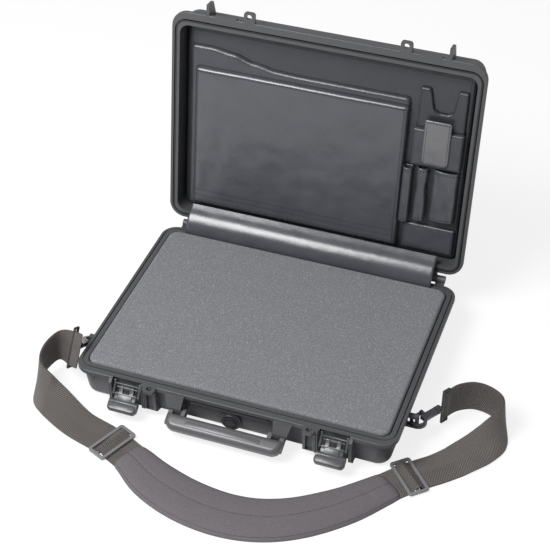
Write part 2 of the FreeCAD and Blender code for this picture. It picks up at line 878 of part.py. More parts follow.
def standoffs():
    """Six posts under the lid's roof that the organizer's board is screwed to."""
    pieces = []
    low_z = lid_rim_z + board_deep + board_thickness + board_gap
    for x in (-standoff_x, 0.0, standoff_x):
        for row in standoff_rows:
            y = back_y - row
            post = rod_z(x, y, standoff_radius, low_z, lid_top_z - wall / 2)
            pieces.append(post.cut(rod_z(x, y, screw_radius, low_z - overrun,
                                         low_z + standoff_radius * 2)))
    return pieces


def organizer_screws():
    """The screws that hold the board to the posts."""
    pieces = []
    low_z = lid_rim_z + board_deep
    for x in (-standoff_x, 0.0, standoff_x):
        for row in standoff_rows:
            y = back_y - row
            head = rod_z(x, y, screw_head_radius, low_z, low_z + screw_head_height)
            shank = rod_z(x, y, screw_radius, low_z, low_z + board_thickness + standoff_radius)
            pieces.append(head.fuse(shank).removeSplitter())
    return Part.makeCompound(pieces)


def lid_seal():
    """The rubber seal in the lid's rim."""
    side = groove_from_side + groove_width
    return rim_ring(
        rim_step(side + seal_width, seal_from_front + seal_width, side + seal_width,
                 cavity_corner, lid_front_y),
        rim_step(side, seal_from_front, side, cavity_corner + seal_width, lid_front_y),
        lid_rim_z - seal_stand, lid_rim_z + seal_height)


def base_foam():
    """The foam block: it stands a little above the rim, but for a step under the lid's front rim."""
    half = half_width - cavity_from_side - foam_side_gap
    low_y = front_y + cavity_from_front + foam_side_gap
    high_y = back_y - cavity_from_back - foam_side_gap
    low_z = wall + foam_floor_gap + foam_pad_thickness
    block = drafted_block(half, low_y, high_y, cavity_corner - foam_side_gap, foam_taper,
                          base_height + foam_stand, low_z, floor_rounding / 2)
    rim_z = base_height + foam_stand
    edges = [e for e in block.Edges if all(abs(v.Z - rim_z) < running_gap for v in e.Vertexes)]
    block = block.makeFillet(edge_rounding, edges)
    band_y = lid_front_y + lid_cavity_from_front + foam_side_gap
    radius = cavity_corner - foam_side_gap
    above = rounded_prism(half + overrun, low_y - overrun, high_y + overrun, radius,
                          base_height, rim_z + overrun)
    crown = rounded_prism(half, band_y, high_y, radius, base_height - overrun, rim_z + overrun * 2)
    return block.cut(above.cut(crown))


def foam_pad():
    """The thin foam sheet under the block."""
    margin = cavity_from_side + foam_pad_margin
    return rounded_prism(*rim_step(margin, margin, margin, corner_radius), wall, wall + foam_pad_thickness)


def hinge_pins():
    """One steel pin for each of the three hinges."""
    pieces = []
    for place in hinge_places:
        pieces.append(rod_x(hinge_y, hinge_z, hinge_pin_radius,
                            place - knuckle_span, place + knuckle_span))
    return Part.makeCompound(pieces)


def latch_lever(side):
    """A latch lever: two knuckles on the base pin, a web to the bail pin, a plate and a lip."""
    pivot = front_point(latch_pin_out, latch_pin_drop)
    root = front_point(bail_pin_out, bail_pin_drop)
    lip = front_point(lever_lip_out, lever_lip_drop)
    half = lever_plate_width / 2
    web_low = latch_lug_width / 2 + running_gap
    pieces = []
    for low, high in ((latch_x - web_low - lever_web_width, latch_x - web_low),
                      (latch_x + web_low, latch_x + web_low + lever_web_width)):
        pieces.append(rod_x(pivot[0], pivot[1], latch_knuckle_radius, low, high))
        pieces.append(bar_between(pivot, root, latch_knuckle_radius, low, high))
    pieces.append(bar_between(root, lip, lever_plate_thickness / 2, latch_x - half, latch_x + half))
    pieces.append(rod_x(root[0], root[1], lever_root_radius, latch_x - half, latch_x + half))
    lip_half = lever_lip_width / 2
    grip = bar_between(lip_point(lip, root, -lever_lip_depth / 2), lip, lever_lip_radius,
                       latch_x - lip_half, latch_x + lip_half)
    pieces.append(grip)
    lever = join(pieces)
    bores = [rod_x(pivot[0], pivot[1], latch_pin_radius + latch_bore_clearance,
                   latch_x - half - overrun, latch_x + half + overrun),
             rod_x(root[0], root[1], bail_pin_radius + latch_bore_clearance,
                   latch_x - half - overrun, latch_x + half + overrun)]
    return mirrored(lever.cut(bores).removeSplitter(), side)


def lip_point(lip, root, distance):
    """A place on the lever's plate, a distance beyond the lip's middle (or before it)."""
    dy = lip[0] - root[0]
    dz = lip[1] - root[1]
    length = math.hypot(dy, dz)
    return lip[0] + dy / length * distance, lip[1] + dz / length * distance


def latch_bail(side):
    """A latch bail: two arms with the rod that hooks over the lid's strike."""
    root = front_point(bail_pin_out, bail_pin_drop)
    rod = front_point(bail_rod_out, bail_rod_drop)
    tip = front_point(bail_tip_out, bail_tip_drop)
    half = bail_arm_inside / 2
    pieces = [rod_x(rod[0], rod[1], bail_rod_radius, latch_x - half, latch_x + half)]
    for low, high in ((latch_x - half - bail_arm_thickness, latch_x - half),
                      (latch_x + half, latch_x + half + bail_arm_thickness)):
        pieces.append(bar_between(root, rod, bail_arm_width / 2, low, high))
        pieces.append(bar_between(rod, tip, bail_rod_radius, low, high))
    bail = join(pieces)
    reach = half + bail_arm_thickness + overrun
    return mirrored(bail.cut(rod_x(root[0], root[1], bail_pin_radius, latch_x - reach, latch_x + reach)), side)


def bail_pin(side):
    """The pin that carries the bail on the lever; it is held fast in the bail's arms."""
    root = front_point(bail_pin_out, bail_pin_drop)
    half = bail_pin_length / 2
    return mirrored(rod_x(root[0], root[1], bail_pin_radius, latch_x - half, latch_x + half), side)


def latch_pins():
    """The two pins in the base that the levers turn on."""
    pivot = front_point(latch_pin_out, latch_pin_drop)
    half = latch_pin_length / 2
    pin = rod_x(pivot[0], pivot[1], latch_pin_radius, latch_x - half, latch_x + half)
    return Part.makeCompound([mirrored(pin, -1), mirrored(pin, 1)])


def handle():
    """The carrying handle: a rounded grip with a fork of two prongs at each end."""
    grip_y, grip_z = front_point(handle_grip_out, handle_grip_drop)
    pivot = front_point(handle_pivot_out, handle_pivot_drop)
    lean = math.degrees(math.atan2(grip_z - pivot[1], pivot[0] - grip_y))
    half_depth = handle_grip_depth / 2
    half_height = handle_grip_height / 2
    bar = make_box((-handle_arm_outer, -half_depth, -half_height),
                   (handle_arm_outer, half_depth, half_height))
    corners = [e for e in bar.Edges if all(v.Y < 0 for v in e.Vertexes)
               and abs(e.Vertexes[0].Z - e.Vertexes[1].Z) > half_height]
    bar = bar.makeFillet(handle_corner, corners)
    edges = [e for e in bar.Edges if abs(e.Vertexes[0].X - e.Vertexes[1].X) > handle_prong_inner]
    bar = bar.makeFillet(handle_grip_rounding, edges)
    bar.rotate(Vector(0, 0, 0), Vector(1, 0, 0), -lean)
    bar.translate(Vector(0, grip_y, grip_z))
    pieces = [bar]
    for side in (-1, 1):
        prongs = [bar_between(pivot, (grip_y, grip_z), handle_eye_radius, low, high)
                  for low, high in ((handle_prong_inner, handle_prong_outer),
                                    (handle_arm_inner, handle_arm_outer))]
        prongs.append(bar_between(lip_point(pivot, (grip_y, grip_z), -handle_gusset_start),
                                  (grip_y, grip_z), handle_eye_radius,
                                  handle_prong_inner, handle_arm_outer))
        pieces += [mirrored(prong, side) for prong in prongs]
    shape = join(pieces)
    bores = [rod_x(pivot[0], pivot[1], handle_pin_radius + latch_bore_clearance,
                   -handle_arm_outer - overrun, handle_arm_outer + overrun),
             rod_x(grip_y, grip_z, handle_core_radius, -handle_prong_inner, handle_prong_inner)]
    return shape.cut(bores).removeSplitter()


def handle_core():
    """The stiffening rod inside the grip."""
    grip_y, grip_z = front_point(handle_grip_out, handle_grip_drop)
    return rod_x(grip_y, grip_z, handle_core_radius, -handle_prong_inner, handle_prong_inner)


def handle_pin():
    """The right one of the two pins that the handle folds on, held fast in its tongue."""
    pivot = front_point(handle_pivot_out, handle_pivot_drop)
    return rod_x(pivot[0], pivot[1], handle_pin_radius, handle_pin_inner, handle_pin_outer)


def valve_wall():
    """The y of the purge valve's seat, and the y of the wall's inner face there."""
    seat_y, z = front_point(valve_pad_out, valve_drop)
    slope = draft_inset / (base_height - flange_height - wall)
    inner_y = front_y + wall_setback + wall + slope * (valve_drop + valve_nut_radius - flange_height)
    return seat_y, inner_y, z


def valve_body():
    """The purge valve's flanged body."""
    seat_y, _, z = valve_wall()
    flange = rod_y(valve_x, z, valve_radius, seat_y - valve_flange_thickness, seat_y)
    edges = [e for e in flange.Edges if all(abs(v.Y - seat_y + valve_flange_thickness) < running_gap
                                            for v in e.Vertexes)]
    flange = flange.makeFillet(edge_rounding / 2, edges)
    stem = rod_y(valve_x, z, valve_stem_radius, seat_y - edge_rounding, seat_y + valve_stem_reach)
    return flange.fuse(stem).removeSplitter()


def valve_knob():
    """The purge valve's knob, with a finger bar across it."""
    seat_y, _, z = valve_wall()
    low_y = seat_y - valve_flange_thickness - running_gap - valve_knob_thickness
    knob = rod_y(valve_x, z, valve_knob_radius, low_y, low_y + valve_knob_thickness)
    ring = rod_y(valve_x, z, valve_knob_radius - valve_knob_groove, low_y - overrun,
                 low_y + valve_knob_groove)
    core = rod_y(valve_x, z, valve_knob_radius - valve_knob_groove * 3, low_y - overrun,
                 low_y + valve_knob_groove)
    bar = make_box((valve_x - valve_knob_radius + valve_knob_groove, low_y, z - valve_knob_grip / 2),
                   (valve_x + valve_knob_radius - valve_knob_groove, low_y + valve_knob_groove,
                    z + valve_knob_grip / 2))
    return knob.cut(ring.cut(core)).fuse(bar).removeSplitter()


def valve_nut():
    """The nut that holds the valve from inside the base, behind the foam's edge."""
    _, inner_y, z = valve_wall()
    nut = rod_y(valve_x, z, valve_nut_radius, inner_y + valve_nut_gap,
                inner_y + valve_nut_gap + valve_nut_thickness)
    return nut.cut(rod_y(valve_x, z, valve_stem_radius, inner_y - overrun,
                         inner_y + valve_nut_thickness + overrun))


def hook_frame(side):
    """The place and heading of a snap hook: X along the shank, Y to its left."""
    x = side * (half_width + lug_reach - lug_bar / 2)
    if side > 0:
        turn = Rotation(Vector(0, 0, 1), right_hook_heading)
        pull = turn.multVec(Vector(hook_pull, 0, 0))
    else:
        turn = Rotation(Vector(0, 0, 1), left_hook_heading)
        pull = turn.multVec(Vector(left_hook_pull, 0, 0)) + Vector(0, 0, left_hook_lift)
        turn = turn.multiply(Rotation(Vector(0, 1, 0), -left_hook_rise))
    return Placement(Vector(x, lug_y, base_height - hook_level_drop) + pull, turn)


def hook_loop_places():
    """How far the two bars of the swivel's loop stand from the ring's middle."""
    near = hook_ring_inner + hook_ring_wire + hook_shank - overrun + hook_swivel_length + hook_loop_gap
    return near, near + hook_loop_bar + hook_loop_gap


def placed(shape, frame):
    """The shape, moved into a frame."""
    return shape.transformGeometry(frame.toMatrix())


def hook_body():
    """A snap hook's ring with its mouth, its shank and the swivel's housing."""
    outer = hook_ring_inner + hook_ring_wire
    half = hook_thickness / 2
    ring = Part.makeCylinder(outer, hook_thickness, Vector(0, 0, -half))
    shank = make_box((0, -hook_shank_width / 2, -half), (outer + hook_shank, hook_shank_width / 2, half))
    housing = Part.makeCylinder(hook_swivel_radius, hook_swivel_length,
                                Vector(outer + hook_shank - overrun, 0, 0), Vector(1, 0, 0))
    bore = Part.makeCylinder(hook_neck_radius + hook_swivel_gap, hook_swivel_length + overrun,
                             Vector(outer + hook_shank, 0, 0), Vector(1, 0, 0))
    hole = Part.makeCylinder(hook_ring_inner, hook_thickness + overrun * 2,
                             Vector(0, 0, -half - overrun))
    mouth = make_box((-hook_gate_opening / 2, hook_ring_inner / 2, -half - overrun),
                     (hook_gate_length, outer + overrun, half + overrun))
    body = ring.fuse([shank, housing]).cut([hole, bore])
    tail = make_box((hook_gate_length, hook_shank_width / 2 - overrun, -half),
                    (hook_gate_length + hook_ring_wire, outer, half))
    return body.cut(mouth).fuse(tail).removeSplitter()


def hook_gate():
    """The sprung gate that closes a hook's mouth."""
    half = hook_thickness / 2 - running_gap
    round_end = hook_gate_width / 2
    pivot_x = hook_gate_length - hook_gate_gap - round_end
    low = (-hook_gate_opening / 2 + hook_gate_gap, hook_ring_inner + hook_gate_gap, -half)
    high = (pivot_x, low[1] + hook_gate_width, half)
    eye = Part.makeCylinder(round_end, half * 2, Vector(pivot_x, low[1] + round_end, -half))
    return make_box(low, high).fuse(eye).removeSplitter()


def hook_swivel():
    """The swivel post and the loop that the webbing is sewn round."""
    outer = hook_ring_inner + hook_ring_wire
    start = outer + hook_shank - overrun + hook_gate_gap
    loop_x, far_x = hook_loop_places()
    neck = Part.makeCylinder(hook_neck_radius, loop_x - start - overrun, Vector(start + overrun, 0, 0),
                             Vector(1, 0, 0))
    half = hook_loop_inside / 2
    bar = hook_loop_bar / 2
    near = Part.makeCylinder(bar, hook_loop_inside + hook_loop_bar, Vector(loop_x, 0, -half - bar))
    far = Part.makeCylinder(bar, hook_loop_inside + hook_loop_bar, Vector(far_x, 0, -half - bar))
    pieces = [neck, near, far]
    for z in (-half - bar, half + bar):
        pieces.append(Part.makeCylinder(bar, far_x - loop_x, Vector(loop_x, 0, z), Vector(1, 0, 0)))
        pieces.append(Part.makeSphere(bar, Vector(loop_x, 0, z)))
        pieces.append(Part.makeSphere(bar, Vector(far_x, 0, z)))
    return join(pieces)


def strap_place(place, side):
    """A place of one side's route, from its shares."""
    return Vector(side * half_width, front_y, 0) + Vector(place[0], place[1], place[2]) * strap_module


def pad_place(place):
    """A place on the pad's middle line, from its shares."""
    return Vector(pad_left_x + place[0] * (pad_right_x - pad_left_x),
                  front_y + place[1] * strap_module, 0)


def pad_end(side):
    """Where the pad ends, and its heading there, out of the pad."""
    last, before = (pad_shares[-1], pad_shares[-2]) if side > 0 else (pad_shares[0], pad_shares[1])
    place = pad_place(last)
    return place, (place - pad_place(before)).normalize()


def between(places):
    """The places with more of them on a smooth curve between each two."""
    more = []
    for index in range(len(places) - 1):
        a, b = places[max(index - 1, 0)], places[index]
        c, d = places[index + 1], places[min(index + 2, len(places) - 1)]
        for step in range(webbing_steps):
            t = step / webbing_steps
            more.append((b * 2 + (c - a) * t + (a * 2 - b * 5 + c * 4 - d) * t ** 2
                         + (b * 3 - a - c * 3 + d) * t ** 3) * 0.5)
    return more + places[-1:]


def webbing(side):
    """One side's webbing: on edge at the hook's loop, flat at the pad, its top edge turned inwards."""
    route = right_webbing_shares if side > 0 else left_webbing_shares
    frame = hook_frame(side)
    leaves = Rotation(Vector(0, 0, 1), 0 if side > 0 else left_webbing_leaves)
    leaving = frame.Rotation.multiply(leaves)
    start = frame.multVec(Vector(hook_loop_places()[1], 0, 0))
    start += leaving.multVec(Vector(hook_loop_bar / 2 + running_gap, 0, 0))
    end, heading = pad_end(side)
    middles = [start] + [strap_place(place, side) for place in route] + [end + heading * running_gap]
    middles = between(middles)
    tilts = [place[3] for place in route]
    tilts = [max(turn.x, 0) for turn in between([Vector(turn, 0, 0) for turn in tilts[:1] + tilts + tilts[-1:]])]
    wires = []
    for index, tilt in enumerate(tilts):
        before = middles[max(index - 1, 0)]
        after = middles[min(index + 1, len(middles) - 1)]
        along = after - before
        if index == 0:
            along = leaving.multVec(Vector(1, 0, 0))
        if index == len(tilts) - 1:
            along = -heading
        along.z = 0
        along.normalize()
        across = Vector(-along.y, along.x, 0)
        turn = math.radians(tilt if side < 0 else 180 - tilt)
        half = webbing_width / 2
        thin = webbing_thickness / 2
        wide = across * (math.cos(turn) * half) + Vector(0, 0, math.sin(turn) * half)
        thick = across * (-math.sin(turn) * thin) + Vector(0, 0, math.cos(turn) * thin)
        if index == 0:
            wide = leaving.multVec(Vector(0, 0, half))
            thick = leaving.multVec(Vector(0, -thin, 0))
        middle = Vector(middles[index])
        middle.z = max(middle.z, abs(wide.z) + abs(thick.z) + webbing_lift)
        corners = [middle + wide + thick, middle - wide + thick,
                   middle - wide - thick, middle + wide - thick]
        wires.append(Part.makePolygon(corners + corners[:1]))
    return Part.makeLoft(wires, True, True)


def shoulder_pad():
    """The pad: crowned along its whole length, widest in the middle, with thin drawn-in edges."""
    middles = [pad_place(place) for place in pad_shares]
    wires = []
    for index, (_, _, wide) in enumerate(pad_shares):
        before = middles[max(index - 1, 0)]
        after = middles[min(index + 1, len(middles) - 1)]
        along = (after - before).normalize()
        across = Vector(-along.y, along.x, 0)
        half = wide * strap_module / 2
        low = middles[index] + Vector(0, 0, webbing_lift)
        right = low - across * half
        left = low + across * half
        edge = Vector(0, 0, pad_edge_thickness)
        crown = low + Vector(0, 0, pad_thickness)
        floor_line = Part.LineSegment(left, right).toShape()
        right_side = Part.LineSegment(right, right + edge).toShape()
        top = Part.Arc(right + edge, crown, left + edge).toShape()
        left_side = Part.LineSegment(left + edge, left).toShape()
        wires.append(Part.Wire([floor_line, right_side, top, left_side]))
    return Part.makeLoft(wires, True, True)


def slider(side):
    """A three-bar slider that lies on one side's webbing, at the end of its route."""
    route = right_webbing_shares if side > 0 else left_webbing_shares
    heading = slider_heading_right if side > 0 else slider_heading_left
    half_long = slider_length / 2
    half_wide = slider_width / 2
    frame = make_box((-half_wide, -half_long, 0), (half_wide, half_long, slider_thickness))
    uprights = [e for e in frame.Edges if abs(e.Vertexes[0].Z - e.Vertexes[1].Z) > running_gap]
    frame = frame.makeFillet(slider_bar, uprights)
    half_slot = slider_slot / 2
    low = slider_bar / 2
    high = half_wide - slider_bar
    for a, b in ((-high, -low), (low, high)):
        frame = frame.cut(make_box((a, -half_slot, -overrun), (b, half_slot, slider_thickness + overrun)))
    place = strap_place(route[-1], side)
    place.z = webbing_lift + webbing_thickness + running_gap
    return placed(frame, Placement(place, Rotation(Vector(0, 0, 1), heading)))


def organizer_board():
    """The stiff board behind the organizer's pockets."""
    board = lid_box(-board_half_width, board_half_width, board_from_edge,
                    board_from_edge + board_length, board_deep, board_deep + board_thickness)
    board = board.makeFillet(board_corner, [e for e in board.Edges
                                            if abs(e.Vertexes[0].Z - e.Vertexes[1].Z) > board_gap])
    holes = []
    front_z = lid_rim_z + board_deep
    for x in (-standoff_x, 0.0, standoff_x):
        for row in standoff_rows:
            holes.append(rod_z(x, back_y - row, screw_radius, front_z - overrun,
                               front_z + board_thickness + overrun))
            holes.append(rod_z(x, back_y - row, screw_head_radius, front_z - overrun,
                               front_z + screw_head_height))
    return board.cut(holes)


def lid_outline_prism(points, deep, deeper):
    """An outline of (x, up the open lid) points, extruded into the lid."""
    corners = [Vector(x, back_y - up, lid_rim_z + deep) for x, up in points]
    wire = Part.makePolygon(corners + corners[:1])
    return Part.Face(wire).extrude(Vector(0, 0, deeper - deep))


def rear_pocket():
    """The large pocket's back panel, with its swept top edge."""
    width = rear_pocket_right - rear_pocket_left
    rise = rear_pocket_peak - rear_pocket_low
    points = [(rear_pocket_left, rear_pocket_bottom)]
    for along, up in rear_pocket_curve_shares:
        points.append((rear_pocket_left + along * width, rear_pocket_low + up * rise))
    points.append((rear_pocket_right, rear_pocket_bottom))
    return lid_outline_prism(points, rear_pocket_deep, board_deep - leather_gap)


def front_pocket():
    """The large pocket's padded front panel."""
    panel = lid_box(front_pocket_left, front_pocket_right, front_pocket_bottom, front_pocket_top,
                    front_pocket_deep, rear_pocket_deep - leather_gap)
    face_z = lid_rim_z + front_pocket_deep
    edges = [e for e in panel.Edges if all(abs(v.Z - face_z) < running_gap for v in e.Vertexes)]
    return panel.makeFillet(front_pocket_rounding, edges)


def notch_pocket():
    """The tall pocket with a notch in its top edge."""
    points = (
        (notch_pocket_left, notch_pocket_bottom),
        (notch_pocket_left, notch_pocket_left_top),
        (notch_pocket_left + notch_pocket_shoulder, notch_pocket_left_top),
        (notch_pocket_notch_x - notch_pocket_shoulder, notch_pocket_notch),
        (notch_pocket_notch_x + notch_pocket_shoulder, notch_pocket_notch),
        (notch_pocket_right - notch_pocket_shoulder, notch_pocket_right_top),
        (notch_pocket_right, notch_pocket_right_top),
        (notch_pocket_right, notch_pocket_bottom),
    )
    return lid_outline_prism(points, notch_pocket_deep, board_deep - leather_gap)


def phone_pocket():
    """The flat pocket in front of the tall one."""
    return lid_box(phone_pocket_left, phone_pocket_right, phone_pocket_bottom, phone_pocket_top,
                   phone_pocket_deep, notch_pocket_deep - leather_gap)


def phone_flap():
    """The flap that closes the flat pocket; it hangs from a seam at its top."""
    deep = phone_pocket_deep - leather_gap
    flap = lid_box(flap_left, flap_right, flap_bottom, flap_top, deep - flap_thickness, deep)
    low_y = back_y - flap_bottom
    uprights = [e for e in flap.Edges if abs(e.Vertexes[0].Z - e.Vertexes[1].Z) > running_gap
                and abs(e.Vertexes[0].Y - low_y) < running_gap]
    return flap.makeFillet(flap_corner, uprights)


def front_edges_up(shape, deep):
    """The edges of a box that run up the lid at a given depth."""
    face_z = lid_rim_z + deep
    return [e for e in shape.Edges if all(abs(v.Z - face_z) < running_gap for v in e.Vertexes)
            and abs(e.Vertexes[0].Y - e.Vertexes[1].Y) > loop_rounding]


def tool_loops():
    """Three leather tubes for pens and cables, each a flat tube open at both ends."""
    pieces = []
    back = board_deep - leather_gap
    for from_right, wide, from_top, bottom in zip(loops_from_right, loop_widths,
                                                  loop_tops_from_top, loop_bottoms):
        place = board_half_width - from_right
        top = board_top - from_top
        outer = lid_box(place - wide / 2, place + wide / 2, bottom, top, loop_deep, back)
        outer = outer.makeFillet(loop_rounding, front_edges_up(outer, loop_deep))
        inside = wide / 2 - loop_wall
        hole = lid_box(place - inside, place + inside, bottom - overrun, top + overrun,
                       loop_deep + loop_wall, back - loop_wall)
        hole = hole.makeFillet(loop_rounding - loop_wall, front_edges_up(hole, loop_deep + loop_wall))
        pieces.append(outer.cut(hole))
    return Part.makeCompound(pieces)


def lower_panel():
    """The flat leather panel under the tubes."""
    return lid_box(lower_panel_left, lower_panel_right, lower_panel_bottom, lower_panel_top,
                   lower_panel_deep, board_deep - leather_gap)


def hinge_cover():
    """The leather strip over the hinge: it bulges from the lid's lining down into the base."""
    outer = [(back_y + behind, base_height + above) for behind, above in (
        (cover_lid_behind, cover_lid_above),
        (cover_fold_behind, cover_fold_above),
        (-cover_bulge_inside, cover_bulge_above),
        (-cover_low_inside, cover_low_above),
        (-cover_tuck_inside, cover_tuck_above),
    )]
    inner = []
    for index, (y, z) in enumerate(outer):
        before = outer[max(index - 1, 0)]
        after = outer[min(index + 1, len(outer) - 1)]
        dy = after[0] - before[0]
        dz = after[1] - before[1]
        length = math.hypot(dy, dz)
        inner.append((y - dz / length * cover_thickness, z + dy / length * cover_thickness))
    return side_prism(outer + inner[::-1], cover_from_left - half_width, half_width - cover_from_right)


def save(name, shape):
    """Write one piece to its own file and print its volume."""
    shape.exportStep("parts/" + name + ".step")
    print(name, len(shape.Solids), round(shape.Volume), shape.isValid())


def build():
    """Make every piece and save it."""
    os.makedirs("parts", exist_ok=True)
    save("base_shell", base_shell())
    save("base_foam", base_foam())
    save("base_foam_pad", foam_pad())
    save("hinge_pins", hinge_pins())
    save("latch_pins", latch_pins())
    save("handle_pins", Part.makeCompound([mirrored(handle_pin(), -1), mirrored(handle_pin(), 1)]))
    save("lid_shell", opened(lid_shell()))
    save("lid_seal", opened(lid_seal()))
    save("organizer_board", opened(organizer_board()))
    save("organizer_screws", opened(organizer_screws()))
    save("organizer_rear_pocket", opened(rear_pocket()))
    save("organizer_front_pocket", opened(front_pocket()))
    save("organizer_notch_pocket", opened(notch_pocket()))
    save("organizer_phone_pocket", opened(phone_pocket()))
    save("organizer_phone_flap", opened(phone_flap()))
    save("organizer_tool_loops", opened(tool_loops()))
    save("organizer_lower_panel", opened(lower_panel()))
    save("hinge_cover", hinge_cover())
    for name, side in (("left", -1), ("right", 1)):
        save(name + "_latch_lever", latch_lever(side))
        save(name + "_latch_bail", latch_bail(side))
        save(name + "_bail_pin", bail_pin(side))
        frame = hook_frame(side)
        save(name + "_hook_body", placed(hook_body(), frame))
        save(name + "_hook_gate", placed(hook_gate(), frame))
        save(name + "_hook_swivel", placed(hook_swivel(), frame))
    save("handle_grip", handle())
    save("handle_core", handle_core())
    save("purge_valve_body", valve_body())
    save("purge_valve_knob", valve_knob())
    save("purge_valve_nut", valve_nut())
    save("left_webbing", webbing(-1))
    save("right_webbing", webbing(1))
    save("left_slider", slider(-1))
    save("right_slider", slider(1))
    save("shoulder_pad", shoulder_pad())


build()
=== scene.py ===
# %% [markdown]
# # A laptop hard case with an organizer in its lid
#
# This notebook dresses the CAD frame of an open hard case. The frame gives every hard part its place and
# its joint. The cells below give the soft parts their real shapes (foam, leather, webbing, a padded
# shoulder piece) and give every part its surface.

# %%
import math

import bmesh
import bpy
from mathutils import Matrix, Vector, noise


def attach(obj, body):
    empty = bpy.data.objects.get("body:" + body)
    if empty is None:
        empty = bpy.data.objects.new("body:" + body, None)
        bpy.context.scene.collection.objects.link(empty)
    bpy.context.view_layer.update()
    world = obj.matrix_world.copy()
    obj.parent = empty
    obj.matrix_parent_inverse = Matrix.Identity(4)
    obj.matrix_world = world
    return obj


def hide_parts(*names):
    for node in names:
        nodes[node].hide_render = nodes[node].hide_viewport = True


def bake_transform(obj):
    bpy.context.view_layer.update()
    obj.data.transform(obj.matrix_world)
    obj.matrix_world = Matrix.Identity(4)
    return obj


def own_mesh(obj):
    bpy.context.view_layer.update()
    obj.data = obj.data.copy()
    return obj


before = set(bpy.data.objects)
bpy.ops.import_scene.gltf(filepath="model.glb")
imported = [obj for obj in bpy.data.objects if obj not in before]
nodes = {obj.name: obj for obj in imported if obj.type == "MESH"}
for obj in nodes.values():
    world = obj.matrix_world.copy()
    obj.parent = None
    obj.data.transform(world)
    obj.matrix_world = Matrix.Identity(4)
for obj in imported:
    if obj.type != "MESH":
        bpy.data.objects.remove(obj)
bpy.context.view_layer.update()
MM = 0.001


def rounded(values):
    return tuple(round(v, 3) for v in values)


def dress(piece, body, replaced=None):
    """Say which body a piece rides on and which CAD node it replaces."""
    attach(piece, body)
    if replaced:
        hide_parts(replaced)


# %% [markdown]
# ## Small tools for meshes
#
# A mesh is a list of points and a list of faces. `add_mesh` makes an object from them and gives it a
# material. `strip_faces` joins rows of points into quads, and `two_sided` closes a front and a back with
# a rim. `smooth_path` runs a curve through a few places, and `spaced` crowds values near both ends,
# where edges need their points.

# %%
def add_object(name, data):
    """A new object at the origin, linked to the scene."""
    obj = bpy.data.objects.new(name, data)
    bpy.context.scene.collection.objects.link(obj)
    return obj


def add_mesh(name, points, faces, material):
    """A new smooth mesh object at the origin, from points in metres."""
    mesh = bpy.data.meshes.new(name)
    mesh.from_pydata([tuple(p) for p in points], [], faces)
    mesh.materials.append(material)
    mesh.polygons.foreach_set("use_smooth", [True] * len(mesh.polygons))
    mesh.update()
    return add_object(name, mesh)


def face_outwards(obj):
    """Turn a closed mesh's faces so that they all look outwards."""
    mesh = bmesh.new()
    mesh.from_mesh(obj.data)
    bmesh.ops.recalc_face_normals(mesh, faces=mesh.faces)
    mesh.to_mesh(obj.data)
    mesh.free()


def strip_faces(rows, per_row, wrap=False):
    """Quads between rows of points that follow one another."""
    faces = []
    for r in range(rows - 1):
        for c in range(per_row if wrap else per_row - 1):
            a = r * per_row + c
            b = r * per_row + (c + 1) % per_row
            faces.append((a, b, b + per_row, a + per_row))
    return faces


def two_sided(rows, per_row, flip=False):
    """Faces of a front grid, a back grid whose points follow it, and the rim between them."""
    count = rows * per_row
    front = strip_faces(rows, per_row)
    back = [tuple(count + i for i in (f if flip else reversed(f))) for f in front]
    if flip:
        front = [tuple(reversed(f)) for f in front]
    rim = list(range(per_row)) + [r * per_row + per_row - 1 for r in range(1, rows)]
    rim += [(rows - 1) * per_row + c for c in range(per_row - 2, -1, -1)]
    rim += [r * per_row for r in range(rows - 2, 0, -1)]
    edge = [(a, b, count + b, count + a) if flip else (b, a, count + a, count + b)
            for a, b in zip(rim, rim[1:] + rim[:1])]
    return front + back + edge


def smooth_path(places, steps):
    """More places on a smooth curve through the given ones."""
    more = []
    for i in range(len(places) - 1):
        a, b = places[max(i - 1, 0)], places[i]
        c, d = places[i + 1], places[min(i + 2, len(places) - 1)]
        for k in range(steps):
            t = k / steps
            more.append((b * 2 + (c - a) * t + (a * 2 - b * 5 + c * 4 - d) * t ** 2
                         + (b * 3 - a - c * 3 + d) * t ** 3) * 0.5)
    return more + [places[-1]]


def spaced(count, low=0.0, high=1.0, crowd=0.45):
    """Values from low to high that crowd at both ends."""
    values = []
    for i in range(count):
        t = i / (count - 1)
        eased = t - crowd * math.sin(2 * math.pi * t) / (2 * math.pi)
        values.append(low + (high - low) * eased)
    return values


HINGE_Y, HINGE_Z, LID_BACK, LID_RIM = 167.8, 51.5, 158.0, 50.4
LID_TURN = math.radians(-98.28)


def open_lid(x, up, out):
    """A place in the open lid, in metres: x across, up from its hinge edge, out of its opening (mm)."""
    y, z = LID_BACK - up - HINGE_Y, LID_RIM - out - HINGE_Z
    return Vector((x * MM, (HINGE_Y + math.cos(LID_TURN) * y - math.sin(LID_TURN) * z) * MM,
                   (HINGE_Z + math.sin(LID_TURN) * y + math.cos(LID_TURN) * z) * MM))


def bumps(x, y, scale, seed):
    """Smooth noise from -1 to 1 at a place in mm."""
    return noise.noise(Vector((x / scale, y / scale, seed * 7.31)))


print("lid's free edge stands at", rounded(open_lid(0, 312, 0)))

# %% [markdown]
# ## Materials
#
# Each surface is made from noise and a few numbers, so it needs no picture. `surface` builds the common
# recipe: a base colour mottled by fine noise, a roughness, and a bump from a second noise. Object
# coordinates keep the grain at its real size whatever the part's shape.

# %%
def new_material(name):
    material = bpy.data.materials.new(name)
    material.use_nodes = True
    tree = material.node_tree
    return material, tree, tree.nodes["Principled BSDF"]


def link(tree, source, target):
    tree.links.new(source, target)


def add_noise(tree, coordinates, scale, detail=3.0, roughness=0.55):
    texture = tree.nodes.new("ShaderNodeTexNoise")
    texture.inputs["Scale"].default_value = scale
    texture.inputs["Detail"].default_value = detail
    texture.inputs["Roughness"].default_value = roughness
    link(tree, coordinates, texture.inputs["Vector"])
    return texture.outputs["Fac"]


